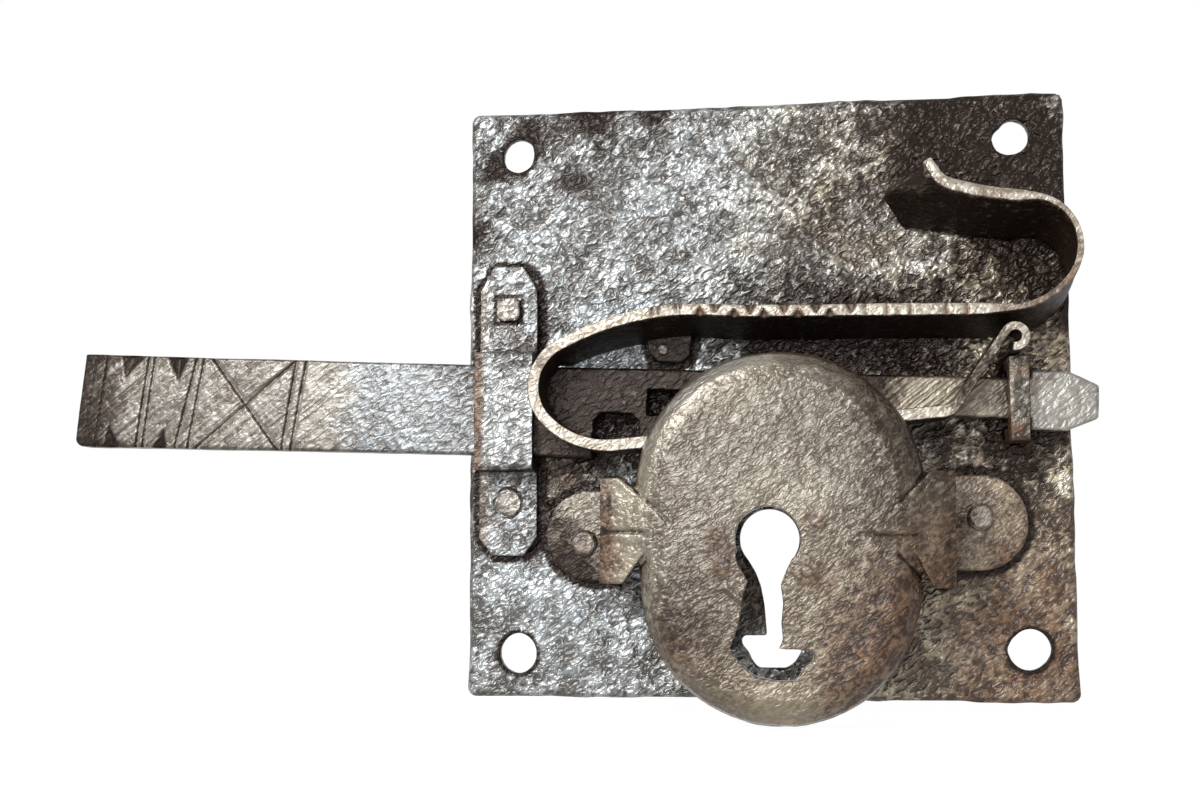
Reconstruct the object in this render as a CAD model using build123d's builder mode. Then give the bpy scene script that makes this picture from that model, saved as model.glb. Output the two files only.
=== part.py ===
"""Hand-forged plate lock for a door: a sliding bolt, a bent leaf spring and a riveted key cap.

Millimetres. X runs to the right along the plate, Z is up, and the front of the lock faces -Y.
The origin is the centre of the plate's back face, where the lock lies on the door.
A height is the distance in front of that back face.
"""
from build123d import *
from math import asin, cos, degrees, radians, sin, sqrt, tan
import os

os.makedirs("parts", exist_ok=True)

# Back plate and its four nail holes
PLATE_SIDE = 150.0
PLATE_THICK = 3.0
PLATE_CORNER = 2.5
PLATE_EDGE_BREAK = 0.8
NAIL_HOLE_R = 4.4
NAIL_INSET_X = 13.0
NAIL_INSET_Z = 12.0

# Running gaps and seats
BACK_GAP = 0.3
SIDE_GAP = 0.4
COVER_GAP = 0.5
SHANK_GAP = 0.05

# Bolt, drawn along its own line of travel
BOLT_TILT = 2.3
BOLT_THICK = 6.0
BOLT_HEIGHT = 22.7
BOLT_AXIS_Z = -5.9
BOLT_HEAD_END = -177.9
HEAD_FLARE_START = -72.0
HEAD_FLARE_TOP = 0.4
HEAD_FLARE_LOW = 1.2
HEAD_SLANT = 1.5
HEAD_CORNER = 2.2
BOLT_EDGE_BREAK = 0.5
CHEST_END = 7.5
NECK_HEIGHT = 9.9
FINGER_DROP = 1.8
TAIL_START = 63.5
TAIL_SIDE = 8.6
TAIL_NOSE = 7.4
TAIL_RISE = 1.9
TAIL_HEIGHT = 14.5
TAIL_TIP_HEIGHT = 8.0

# Key, whose bit decides the shape of the bolt's lower edge
KEY_X = 1.3
KEY_Z = -35.5
KEY_REACH = 28.5
BIT_THICK = 3.2
THROW = 25.0
TURNS = 2
TALON_WIDTH = 11.5
TALON_CORNER = 2.0
LAND_LEAD = 5.0
TALON_ROOF_GAP = 0.6
OPEN_TALON_DEPTH = 11.5

# Keyholes in the cap and in the plate
KEYHOLE_R = 7.3
CAP_SLOT_WIDTH = 8.0
CAP_SLOT_SHIFT = -1.6
CAP_FOOT_HALF = 9.3
CAP_FOOT_SHIFT = 1.0
CAP_FOOT_TOP = 24.0
CAP_FOOT_DEPTH = 8.7
PLATE_SLOT_WIDTH = 4.6
PLATE_SLOT_SHIFT = 1.4
PLATE_FOOT_HALF = 7.3
PLATE_FOOT_FLAT = 3.5
PLATE_FOOT_SHIFT = 0.4
PLATE_FOOT_TOP = 23.9
PLATE_FOOT_DEPTH = 7.2

# Guide strap at the left edge of the plate
STRAP_THICK = 2.5
STRAP_BEND = 1.4
STRAP_INSET = 3.7
STRAP_WIDTH = 14.8
STRAP_TOP_END = 33.9
STRAP_LOW_END = -39.6
STRAP_TOP_TAPER = 6.2
STRAP_TOP_CUT = 3.6
STRAP_LOW_TAPER = 4.4
STRAP_LOW_CUT = 3.4
GUIDE_RIVET_TOP_Z = 22.7
GUIDE_RIVET_LOW_Z = -26.4
GUIDE_RIVET_SQUARE = 6.4
GUIDE_RIVET_CORNER = 1.3
GUIDE_RIVET_ROUND_R = 3.5
RIVET_SHANK_R = 2.0
RIVET_HEAD_TALL = 1.2
FLUSH_HEAD_TALL = 0.6
RIVET_SINK_DEEP = 1.2

# Staple over the bolt's tail
STAPLE_LEFT = 58.2
STAPLE_WIDTH = 4.7
STAPLE_LEG = 3.3
STAPLE_BRIDGE = 5.2
STAPLE_CLEAR_TOP = 1.2
STAPLE_CLEAR_LOW = 2.3
STAPLE_CORNER = 1.6
TENON_STEP = 0.4

# Key cap: a dished oval sheet on two riveted lugs
CAP_FRONT = 30.0
CAP_SHEET = 2.5
CAP_LIP = 1.1
CAP_X = 3.8
CAP_TOP_Z = -25.2
CAP_TOP_R = 33.8
CAP_LOW_Z = -46.3
CAP_LOW_R = 32.4
CAP_SHOULDER_R = 6.6
SHOULDER_FLATS = 3
EAR_THICK = 2.5
LUG_BEND = 2.6
LUG_CORNER_HEIGHT = 26.0
LUG_FLAT = 5.6
LUG_TIP_HALF = 2.2
CAP_RIVET_R = 3.3
CAP_RIVET_TALL = 1.6

# Left and right lug: outer edge beyond the dish, low and high side, tip inside the dish and its Z
LUGS = {"left": (8.0, -45.9, -20.9, 6.5, -31.6), "right": (6.4, -46.9, -19.8, 6.2, -30.2)}
LEFT_EAR_GAP = 2.2
RIGHT_EAR_LENGTH = 19.2

# Left and right ear: Z of its middle, radius, rivet beyond the lug and its Z
EARS = {"left": (-34.7, 11.4, 6.4, -36.4), "right": (-31.6, 11.7, 7.8, -30.2)}

# Wards under the cap, curved round the key
WARD_R = 11.5
WARD_THICK = 1.8
WARD_DEPTH = 11.0
WARD_ARCS = {"left": (158.0, 228.0, (176.5, 209.5)), "right": (-58.0, 38.0, (20.5, -39.5))}
WARD_TENON = 1.5
WARD_PEEN_R = 1.7
WARD_PEEN_TALL = 0.5

# Leaf spring: one strip on edge
SPRING_FRONT = 21.5
SPRING_LEAN = 10.0
SPRING_THICK = 3.1
SPRING_THIN = 1.5
RISER_THICK = 2.3
CURL_CLEAR = 5.17
CURL_R = 2.4
CURL_TURN = 250.0
NOSE_GAP = 0.25
NOSE_Z = 1.1
BACK_MORE = -0.3
LEG_MORE = 22.9
NOSE_BEND_R = 11.5
NOSE_UPPER_TURN = 61.4
NOSE_LOWER_TURN = 45.1
FREE_TIP_X = 30.0
FREE_TIP_HEIGHT = 13.5
FREE_BACK_X = 35.0
LIP_START_X = 43.0
LIP_BACK = 14.0
FOOT_FROM_NOSE = 26.1
FOOT_WIDTH = 11.0
FOOT_THICK = 2.4
FOOT_LOW_Z = 8.2
FOOT_CORNER = 2.0
SPRING_RIVET_IN_X = 4.0
SPRING_RIVET_IN_Z = 3.6
SPRING_RIVET_R = 1.5
SPRING_RIVET_TALL = 1.2

# Tongue behind the spring's lower leg, and the comb slot that it drops into
TONGUE_X = 24.0
TONGUE_WIDTH = 4.0
TONGUE_THICK = 2.4
TONGUE_RAISE = 2.0
TONGUE_ROOT = 2.4
TONGUE_LIFT = 3.3
COMB_GAP = 0.35


def at_height(height):
    """Plane parallel to the plate, at a height in front of the back face."""
    return Plane.XZ.offset(height)


def at_x(x):
    """Plane square to X: its own x runs along the height and its own y up Z."""
    return Plane(origin=(x, 0, 0), x_dir=(0, -1, 0), z_dir=(-1, 0, 0))


def on_bolt(height):
    """Plane of the bolt: its own x runs along the travel and its own y across the bolt."""
    along = (cos(radians(BOLT_TILT)), 0, -sin(radians(BOLT_TILT)))
    return Plane(origin=(0, -height, BOLT_AXIS_Z), x_dir=along, z_dir=(0, -1, 0))


def to_bolt(x, z):
    """A point of the lock in the bolt's own x and y."""
    tilt = radians(BOLT_TILT)
    rise = z - BOLT_AXIS_Z
    return (x * cos(tilt) - rise * sin(tilt), x * sin(tilt) + rise * cos(tilt))


def z_on_bolt(x, across):
    """Z of a line along the bolt, where it passes x of the lock."""
    return BOLT_AXIS_Z + across / cos(radians(BOLT_TILT)) - x * tan(radians(BOLT_TILT))


def polar(x, z, radius, angle):
    """Point at a radius and an angle about x, z."""
    return (x + radius * cos(radians(angle)), z + radius * sin(radians(angle)))


def walk(start, heading, runs):
    """Follow the runs of a bent strip: the start and heading of each run, and the end."""
    x, z = start
    stations = [(x, z, heading)]
    for length, turn in runs:
        if turn == 0:
            x += length * cos(radians(heading))
            z += length * sin(radians(heading))
        else:
            radius = length / radians(turn)
            x += radius * (sin(radians(heading + turn)) - sin(radians(heading)))
            z += radius * (cos(radians(heading)) - cos(radians(heading + turn)))
        heading += turn
        stations.append((x, z, heading))
    return stations


def side_points(station, length, turn, offset):
    """Start, middle and end of one side of a run, at an offset to the left of its middle line."""
    points = []
    for share in (0.0, 0.5, 1.0):
        x, z, heading = walk(station[:2], station[2], [(length * share, turn * share)])[-1]
        points.append((x - offset * sin(radians(heading)), z + offset * cos(radians(heading))))
    return points


def strip_faces(start, heading, runs):
    """One face for each run of a bent strip. A run is length, turn, metal left, metal right."""
    faces = []
    stations = walk(start, heading, [(length, turn) for length, turn, left, right in runs])
    for station, (length, turn, left, right) in zip(stations, runs):
        near = side_points(station, length, turn, left)
        far = side_points(station, length, turn, -right)
        with BuildLine() as outline:
            if turn == 0:
                Line(near[0], near[2])
                Line(far[2], far[0])
            else:
                ThreePointArc(*near)
                ThreePointArc(far[2], far[1], far[0])
            Line(near[2], far[2])
            Line(far[0], near[0])
        with BuildSketch() as face:
            make_face(outline.edges())
        faces.append(face.sketch)
    return faces


def riveted_shank(x, z, radius, top, gap):
    """A rivet's shank with its tail spread flush into the plate's back, or the hole for it."""
    with BuildPart() as shank:
        with BuildSketch(at_height(0)):
            with Locations((x, z)):
                Circle(radius + gap)
        extrude(amount=top)
        with BuildSketch(at_height(0)):
            with Locations((x, z)):
                Circle(radius + RIVET_SINK_DEEP + gap)
        extrude(amount=RIVET_SINK_DEEP, taper=45)
    return shank.part


# Heights and lines that several pieces share
BOLT_BACK = PLATE_THICK + BACK_GAP
BOLT_FRONT = BOLT_BACK + BOLT_THICK
COVER_UNDER = BOLT_FRONT + COVER_GAP
STRAP_FRONT = PLATE_THICK + STRAP_THICK
EAR_FRONT = PLATE_THICK + EAR_THICK
FOOT_FRONT = PLATE_THICK + FOOT_THICK
CAP_RIM = CAP_FRONT - CAP_SHOULDER_R - CAP_LIP
CAP_INNER = CAP_FRONT - CAP_SHEET
BOLT_TOP = BOLT_HEIGHT / 2
BOLT_LOW = -BOLT_HEIGHT / 2
NECK_LOW = BOLT_TOP - NECK_HEIGHT
FINGER_LOW = NECK_LOW - FINGER_DROP
TAIL_TOP = BOLT_TOP + TAIL_RISE
TAIL_LOW = TAIL_TOP - TAIL_HEIGHT

# Staple opening round the bolt's neck
STAPLE_RIGHT = STAPLE_LEFT + STAPLE_WIDTH
STAPLE_MID_X = STAPLE_LEFT + STAPLE_WIDTH / 2
STAPLE_IN_TOP = z_on_bolt(STAPLE_LEFT, BOLT_TOP) + STAPLE_CLEAR_TOP
STAPLE_IN_LOW = z_on_bolt(STAPLE_RIGHT, NECK_LOW) - STAPLE_CLEAR_LOW
STAPLE_LEG_Z = (STAPLE_IN_LOW - STAPLE_LEG / 2, STAPLE_IN_TOP + STAPLE_LEG / 2)

# Guide strap and its two rivets, kept to the plate's left edge
STRAP_LEFT = STRAP_INSET - PLATE_SIDE / 2
STRAP_RIGHT = STRAP_LEFT + STRAP_WIDTH
STRAP_MID_X = STRAP_LEFT + STRAP_WIDTH / 2
STRAP_IN_TOP = z_on_bolt(STRAP_LEFT, BOLT_TOP) + SIDE_GAP + HEAD_FLARE_TOP / 2
STRAP_IN_LOW = z_on_bolt(STRAP_RIGHT, BOLT_LOW) - SIDE_GAP - HEAD_FLARE_LOW / 2

# Spring's nose, kept to the strap, and the long runs that take up the way from there
NOSE_X = STRAP_RIGHT + NOSE_GAP + SPRING_THICK / 2
BACK_LENGTH = BACK_MORE - NOSE_X
LEG_LENGTH = LEG_MORE - NOSE_X
FOOT_LEFT = NOSE_X + FOOT_FROM_NOSE
SPRING_RIVET_X = FOOT_LEFT + SPRING_RIVET_IN_X
SPRING_RIVET_Z = FOOT_LOW_Z + SPRING_RIVET_IN_Z

# Lugs and ears of the cap: outer edges and rivets go with the dish, the left ear stops short of the strap
LUG_EDGE_X = {"left": CAP_X - CAP_TOP_R - LUGS["left"][0], "right": CAP_X + CAP_TOP_R + LUGS["right"][0]}
LUG_TIP_X = {"left": CAP_X - CAP_TOP_R + LUGS["left"][3], "right": CAP_X + CAP_TOP_R - LUGS["right"][3]}
EAR_END_X = {"left": STRAP_RIGHT + LEFT_EAR_GAP, "right": LUG_EDGE_X["right"] + RIGHT_EAR_LENGTH}
CAP_RIVET_AT = {
    "left": (LUG_EDGE_X["left"] - EARS["left"][2], EARS["left"][3]),
    "right": (LUG_EDGE_X["right"] + EARS["right"][2], EARS["right"][3]),
}

# Talons: the bit swings through one throw between entering a talon and leaving it
HALF_CHORD = (THROW + TALON_WIDTH - BIT_THICK) / 2
LAND_Z = KEY_Z + sqrt(KEY_REACH ** 2 - HALF_CHORD ** 2)
HIDDEN_TALON = to_bolt(KEY_X - THROW / 2, LAND_Z)
OPEN_TALON_X = HIDDEN_TALON[0] - THROW
HIDDEN_ROOF = to_bolt(KEY_X - THROW / 2, KEY_Z + KEY_REACH + TALON_ROOF_GAP)[1]
OPEN_ROOF = BOLT_LOW + OPEN_TALON_DEPTH
LAND_LOW = HIDDEN_TALON[1]
LAND_START = OPEN_TALON_X + TALON_WIDTH / 2 + LAND_LEAD

# Spring runs: length, turn in degrees, metal on the left and on the right of the middle line
HALF = SPRING_THICK / 2
THIN = SPRING_THIN / 2
RISER = RISER_THICK / 2
UPPER_RUNS = [
    (radians(NOSE_UPPER_TURN) * NOSE_BEND_R, -NOSE_UPPER_TURN, HALF, HALF),
    (38.6, -32.8, HALF, HALF),
    (14.0, 3.6, HALF, HALF),
    (BACK_LENGTH, 0.0, HALF, HALF),
    (16.8, 52.2, THIN, THIN),
    (15.0, 69.0, THIN, THIN),
    (10.4, 54.2, THIN, THIN),
    (10.0, -5.0, SPRING_THICK - THIN, THIN),
    (9.0, -7.0, SPRING_THICK - THIN, THIN),
]
FREE_RUNS = [(5.0, 16.0, SPRING_THICK - THIN, THIN), (18.0, 0.0, SPRING_THICK - THIN, THIN)]
LIP_RUNS = [(5.0, -42.0, SPRING_THICK - THIN, THIN), (3.4, 0.0, SPRING_THICK - THIN, THIN)]
LOWER_RUNS = [
    (radians(NOSE_LOWER_TURN) * NOSE_BEND_R, NOSE_LOWER_TURN, HALF, HALF),
    (18.1, 49.9, HALF, HALF),
    (LEG_LENGTH, 0.6, HALF, HALF),
    (3.6, 50.2, HALF, RISER),
]
UPPER_PATH = walk((NOSE_X, NOSE_Z), 90.0, [run[:2] for run in UPPER_RUNS])
LOWER_PATH = walk((NOSE_X, NOSE_Z), -90.0, [run[:2] for run in LOWER_RUNS])

# The riser climbs until its curl clears the staple
RISER_RISE = STAPLE_IN_TOP + STAPLE_LEG + CURL_CLEAR - LOWER_PATH[-1][1]
RISER_RUNS = [
    (RISER_RISE / sin(radians(LOWER_PATH[-1][2])), 0.0, RISER, RISER),
    (radians(CURL_TURN) * CURL_R, -CURL_TURN, RISER, RISER),
]


def leg_z(x):
    """Z of the middle line of the spring's long lower leg above x."""
    start_x, start_z, heading = LOWER_PATH[2]
    return start_z + (x - start_x) * tan(radians(heading))


TONGUE_TOP_Z = leg_z(TONGUE_X) + HALF + TONGUE_RAISE
TONGUE_MID_Z = TONGUE_TOP_Z - TONGUE_THICK / 2
TONGUE_ON_BOLT = to_bolt(TONGUE_X, TONGUE_MID_Z)
NOTCH_LOW = TONGUE_ON_BOLT[1] - TONGUE_THICK / 2 - COMB_GAP
CHANNEL_LOW = NOTCH_LOW + TONGUE_LIFT
CHANNEL_TOP = CHANNEL_LOW + TONGUE_THICK + 2 * COMB_GAP
NOTCH_WIDTH = TONGUE_WIDTH + 2 * COMB_GAP

# Rivets through the plate: place, shank radius, and the height of the sheet that they hold
RIVETS = {
    "guide_upper": (STRAP_MID_X, GUIDE_RIVET_TOP_Z, RIVET_SHANK_R, STRAP_FRONT),
    "guide_lower": (STRAP_MID_X, GUIDE_RIVET_LOW_Z, RIVET_SHANK_R, STRAP_FRONT),
    "cap_left": (*CAP_RIVET_AT["left"], RIVET_SHANK_R, EAR_FRONT),
    "cap_right": (*CAP_RIVET_AT["right"], RIVET_SHANK_R, EAR_FRONT),
    "spring": (SPRING_RIVET_X, SPRING_RIVET_Z, SPRING_RIVET_R, FOOT_FRONT),
}
RIVET_HOLES = {name: riveted_shank(*place, SHANK_GAP) for name, place in RIVETS.items()}
RIVET_SHANKS = {name: riveted_shank(*place, 0) for name, place in RIVETS.items()}

with BuildPart() as back_plate:
    with BuildSketch(at_height(0)):
        RectangleRounded(PLATE_SIDE, PLATE_SIDE, PLATE_CORNER)
    extrude(amount=PLATE_THICK)
    chamfer(back_plate.faces().sort_by(Axis.Y)[0].edges(), length=PLATE_EDGE_BREAK)
    with BuildSketch(at_height(0)):
        with GridLocations(PLATE_SIDE - 2 * NAIL_INSET_X, PLATE_SIDE - 2 * NAIL_INSET_Z, 2, 2):
            Circle(NAIL_HOLE_R)
        with Locations((KEY_X, KEY_Z)):
            Circle(KEYHOLE_R)
        plate_foot_x = KEY_X + PLATE_FOOT_SHIFT
        plate_foot_top = KEY_Z - PLATE_FOOT_TOP
        plate_foot_low = plate_foot_top - PLATE_FOOT_DEPTH
        with Locations((KEY_X + PLATE_SLOT_SHIFT, KEY_Z)):
            Rectangle(PLATE_SLOT_WIDTH, PLATE_FOOT_TOP, align=(Align.CENTER, Align.MAX))
        with BuildLine():
            Polyline(
                (plate_foot_x - PLATE_FOOT_HALF, plate_foot_top),
                (plate_foot_x + PLATE_FOOT_HALF, plate_foot_top),
                (plate_foot_x + PLATE_FOOT_FLAT, plate_foot_low),
                (plate_foot_x - PLATE_FOOT_FLAT, plate_foot_low),
                close=True,
            )
        make_face()
        for leg_mid_z in STAPLE_LEG_Z:
            with Locations((STAPLE_MID_X, leg_mid_z)):
                Rectangle(
                    STAPLE_WIDTH - 2 * TENON_STEP + 2 * SHANK_GAP,
                    STAPLE_LEG - 2 * TENON_STEP + 2 * SHANK_GAP,
                )
    extrude(amount=PLATE_THICK, mode=Mode.SUBTRACT)
    for hole in RIVET_HOLES.values():
        add(hole, mode=Mode.SUBTRACT)

back_plate.part.label = "back_plate"
export_step(back_plate.part, "parts/back_plate.step")

with BuildPart() as bolt:
    with BuildSketch(on_bolt(BOLT_BACK)) as bolt_outline:
        with BuildLine():
            Polyline(
                (BOLT_HEAD_END, BOLT_LOW - HEAD_FLARE_LOW),
                (HEAD_FLARE_START, BOLT_LOW),
                (LAND_START, BOLT_LOW),
                (LAND_START, LAND_LOW),
                (CHEST_END, LAND_LOW),
                (CHEST_END, FINGER_LOW),
                (TONGUE_ON_BOLT[0], FINGER_LOW),
                (TONGUE_ON_BOLT[0], NECK_LOW),
                (TAIL_START, NECK_LOW),
                (TAIL_START, TAIL_LOW),
                (TAIL_START + TAIL_SIDE, TAIL_LOW),
                (TAIL_START + TAIL_SIDE + TAIL_NOSE, (TAIL_TOP + TAIL_LOW - TAIL_TIP_HEIGHT) / 2),
                (TAIL_START + TAIL_SIDE + TAIL_NOSE, (TAIL_TOP + TAIL_LOW + TAIL_TIP_HEIGHT) / 2),
                (TAIL_START + TAIL_SIDE, TAIL_TOP),
                (TAIL_START, TAIL_TOP),
                (TAIL_START, BOLT_TOP),
                (HEAD_FLARE_START, BOLT_TOP),
                (BOLT_HEAD_END + HEAD_SLANT, BOLT_TOP + HEAD_FLARE_TOP),
                close=True,
            )
        make_face()
        fillet(bolt_outline.vertices().group_by(Axis.X)[0], radius=HEAD_CORNER)
        fillet(bolt_outline.vertices().sort_by(Axis.X)[-2:], radius=HEAD_CORNER / 2)
    extrude(amount=BOLT_THICK)
    chamfer(bolt.faces().sort_by(Axis.Y)[0].edges(), length=BOLT_EDGE_BREAK)
    with BuildSketch(on_bolt(BOLT_BACK)):
        for talon_x, roof in ((HIDDEN_TALON[0], HIDDEN_ROOF), (OPEN_TALON_X, OPEN_ROOF)):
            with BuildLine():
                Polyline(
                    (talon_x - TALON_WIDTH / 2, BOLT_LOW),
                    (talon_x - TALON_WIDTH / 2, roof - TALON_CORNER),
                    (talon_x - TALON_WIDTH / 2 + TALON_CORNER, roof),
                    (talon_x + TALON_WIDTH / 2 - TALON_CORNER, roof),
                    (talon_x + TALON_WIDTH / 2, roof - TALON_CORNER),
                    (talon_x + TALON_WIDTH / 2, BOLT_LOW),
                    close=True,
                )
            make_face()
        comb_end = TONGUE_ON_BOLT[0] - TURNS * THROW - NOTCH_WIDTH / 2
        comb_length = TURNS * THROW + NOTCH_WIDTH
        with Locations((comb_end, CHANNEL_LOW)):
            Rectangle(comb_length, CHANNEL_TOP - CHANNEL_LOW, align=(Align.MIN, Align.MIN))
        for turn in range(TURNS + 1):
            notch_low = NOTCH_LOW if turn else BOLT_LOW
            with Locations((TONGUE_ON_BOLT[0] - turn * THROW, notch_low)):
                Rectangle(NOTCH_WIDTH, CHANNEL_TOP - notch_low, align=(Align.CENTER, Align.MIN))
    extrude(amount=BOLT_THICK, mode=Mode.SUBTRACT)

bolt.part.label = "bolt"
export_step(bolt.part, "parts/bolt.step")

with BuildPart() as guide_strap:
    with BuildSketch(at_x(STRAP_RIGHT)) as strap_side:
        with BuildLine():
            Polyline(
                (PLATE_THICK, STRAP_LOW_END),
                (STRAP_FRONT, STRAP_LOW_END),
                (STRAP_FRONT, STRAP_IN_LOW - STRAP_THICK),
                (COVER_UNDER + STRAP_THICK, STRAP_IN_LOW - STRAP_THICK),
                (COVER_UNDER + STRAP_THICK, STRAP_IN_TOP + STRAP_THICK),
                (STRAP_FRONT, STRAP_IN_TOP + STRAP_THICK),
                (STRAP_FRONT, STRAP_TOP_END),
                (PLATE_THICK, STRAP_TOP_END),
                (PLATE_THICK, STRAP_IN_TOP),
                (COVER_UNDER, STRAP_IN_TOP),
                (COVER_UNDER, STRAP_IN_LOW),
                (PLATE_THICK, STRAP_IN_LOW),
                close=True,
            )
        make_face()
        fillet(strap_side.vertices().group_by(Axis.X)[-1], radius=STRAP_BEND)
    extrude(amount=STRAP_WIDTH)
    with BuildSketch(at_height(0)):
        with BuildLine():
            Polyline(
                (STRAP_LEFT, STRAP_LOW_END + STRAP_LOW_TAPER),
                (STRAP_LEFT + STRAP_LOW_CUT, STRAP_LOW_END),
                (STRAP_RIGHT - STRAP_LOW_CUT, STRAP_LOW_END),
                (STRAP_RIGHT, STRAP_LOW_END + STRAP_LOW_TAPER),
                (STRAP_RIGHT, STRAP_TOP_END - STRAP_TOP_TAPER),
                (STRAP_RIGHT - STRAP_TOP_CUT, STRAP_TOP_END),
                (STRAP_LEFT + STRAP_TOP_CUT, STRAP_TOP_END),
                (STRAP_LEFT, STRAP_TOP_END - STRAP_TOP_TAPER),
                close=True,
            )
        make_face()
    extrude(amount=COVER_UNDER + STRAP_THICK, mode=Mode.INTERSECT)
    for name in ("guide_upper", "guide_lower"):
        add(RIVET_HOLES[name], mode=Mode.SUBTRACT)

guide_strap.part.label = "guide_strap"
export_step(guide_strap.part, "parts/guide_strap.step")

with BuildPart() as guide_rivet_upper:
    add(RIVET_SHANKS["guide_upper"])
    with BuildSketch(at_height(STRAP_FRONT)) as square_head:
        with Locations((STRAP_MID_X, GUIDE_RIVET_TOP_Z)):
            Rectangle(GUIDE_RIVET_SQUARE, GUIDE_RIVET_SQUARE)
        chamfer(square_head.vertices(), length=GUIDE_RIVET_CORNER)
    extrude(amount=RIVET_HEAD_TALL)
    chamfer(guide_rivet_upper.faces().sort_by(Axis.Y)[0].edges(), length=RIVET_HEAD_TALL / 3)

guide_rivet_upper.part.label = "guide_rivet_upper"
export_step(guide_rivet_upper.part, "parts/guide_rivet_upper.step")

with BuildPart() as guide_rivet_lower:
    add(RIVET_SHANKS["guide_lower"])
    with BuildSketch(at_height(STRAP_FRONT)):
        with Locations((STRAP_MID_X, GUIDE_RIVET_LOW_Z)):
            Circle(GUIDE_RIVET_ROUND_R)
    extrude(amount=FLUSH_HEAD_TALL)
    chamfer(guide_rivet_lower.faces().sort_by(Axis.Y)[0].edges(), length=FLUSH_HEAD_TALL / 2)

guide_rivet_lower.part.label = "guide_rivet_lower"
export_step(guide_rivet_lower.part, "parts/guide_rivet_lower.step")

with BuildPart() as tail_staple:
    with BuildSketch(at_x(STAPLE_RIGHT)) as staple_side:
        with Locations((PLATE_THICK, STAPLE_IN_LOW - STAPLE_LEG)):
            Rectangle(
                COVER_UNDER + STAPLE_BRIDGE - PLATE_THICK,
                STAPLE_IN_TOP - STAPLE_IN_LOW + 2 * STAPLE_LEG,
                align=(Align.MIN, Align.MIN),
            )
        fillet(staple_side.vertices().group_by(Axis.Y)[0], radius=STAPLE_CORNER)
        with Locations((PLATE_THICK, STAPLE_IN_LOW)):
            Rectangle(
                COVER_UNDER - PLATE_THICK,
                STAPLE_IN_TOP - STAPLE_IN_LOW,
                align=(Align.MIN, Align.MIN),
                mode=Mode.SUBTRACT,
            )
    extrude(amount=STAPLE_WIDTH)
    with BuildSketch(at_height(0)):
        for leg_mid_z in STAPLE_LEG_Z:
            with Locations((STAPLE_MID_X, leg_mid_z)):
                Rectangle(STAPLE_WIDTH - 2 * TENON_STEP, STAPLE_LEG - 2 * TENON_STEP)
    extrude(amount=PLATE_THICK)

tail_staple.part.label = "tail_staple"
export_step(tail_staple.part, "parts/tail_staple.step")


def lug_solid(name, side):
    """One lug of the cap: a sheet that leaves the dish, turns down to the plate and ends in an ear."""
    low_z, high_z = LUGS[name][1:3]
    tip = (LUG_TIP_X[name], LUGS[name][4])
    edge_x = LUG_EDGE_X[name]
    ear_end = EAR_END_X[name]
    ear_z, ear_r = EARS[name][:2]
    inner_x = edge_x - side * EAR_THICK
    middle_z = (low_z + high_z) / 2
    with BuildPart() as lug:
        with BuildSketch(Plane(origin=(0, 0, low_z), x_dir=(1, 0, 0), z_dir=(0, 0, -1))) as bend:
            with BuildLine():
                Polyline(
                    (ear_end, PLATE_THICK),
                    (ear_end, EAR_FRONT),
                    (edge_x, EAR_FRONT),
                    (edge_x, LUG_CORNER_HEIGHT),
                    (tip[0], CAP_FRONT),
                    (tip[0], CAP_FRONT - CAP_SHEET),
                    (inner_x, LUG_CORNER_HEIGHT - EAR_THICK),
                    (inner_x, PLATE_THICK),
                    close=True,
                )
            make_face()
            crest = bend.vertices().sort_by_distance((edge_x, -LUG_CORNER_HEIGHT, low_z))[0]
            fillet(crest, radius=LUG_BEND)
        extrude(amount=low_z - high_z)
        with BuildSketch(at_height(0)):
            with BuildLine():
                Polyline(
                    (edge_x, low_z),
                    (edge_x - side * LUG_FLAT, low_z),
                    (tip[0], tip[1] - LUG_TIP_HALF),
                    (tip[0], tip[1] + LUG_TIP_HALF),
                    (edge_x - side * LUG_FLAT, high_z),
                    (edge_x, high_z),
                    close=True,
                )
            make_face()
            with Locations((ear_end - side * ear_r, ear_z)):
                Circle(ear_r)
            with Locations(((edge_x + ear_end - side * ear_r) / 2, ear_z)):
                Rectangle(abs(ear_end - side * ear_r - edge_x), 2 * ear_r)
        extrude(amount=CAP_FRONT, mode=Mode.INTERSECT)
    return lug.part


def cap_oval(inset):
    """The cap's outline: two round ends joined by their tangents, drawn inwards by an inset."""
    slant = degrees(asin((CAP_TOP_R - CAP_LOW_R) / (CAP_TOP_Z - CAP_LOW_Z)))
    top = [polar(CAP_X, CAP_TOP_Z, CAP_TOP_R - inset, angle) for angle in (-slant, 90, 180 + slant)]
    low = [polar(CAP_X, CAP_LOW_Z, CAP_LOW_R - inset, angle) for angle in (180 + slant, 270, -slant)]
    with BuildSketch() as oval:
        with BuildLine():
            ThreePointArc(*top)
            Line(top[2], low[0])
            ThreePointArc(*low)
            Line(low[2], top[0])
        make_face()
    return oval.sketch


def dish(inset):
    """The cap's outside or inside: a straight lip, then a quarter round shoulder in a few flats."""
    front = CAP_FRONT - inset
    shoulder = CAP_SHOULDER_R - inset
    with BuildPart() as body:
        with BuildSketch(at_height(CAP_RIM)):
            add(cap_oval(inset))
        extrude(amount=CAP_LIP)
        for flat in range(SHOULDER_FLATS):
            low = 90 * flat / SHOULDER_FLATS
            high = 90 * (flat + 1) / SHOULDER_FLATS
            with BuildSketch(at_height(front - shoulder * (1 - sin(radians(low))))):
                add(cap_oval(inset + shoulder * (1 - cos(radians(low)))))
            extrude(amount=shoulder * (sin(radians(high)) - sin(radians(low))), taper=(low + high) / 2)
    return body.part


WARD_TENONS = {side: [polar(KEY_X, KEY_Z, WARD_R, angle) for angle in WARD_ARCS[side][2]] for side in WARD_ARCS}

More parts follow.
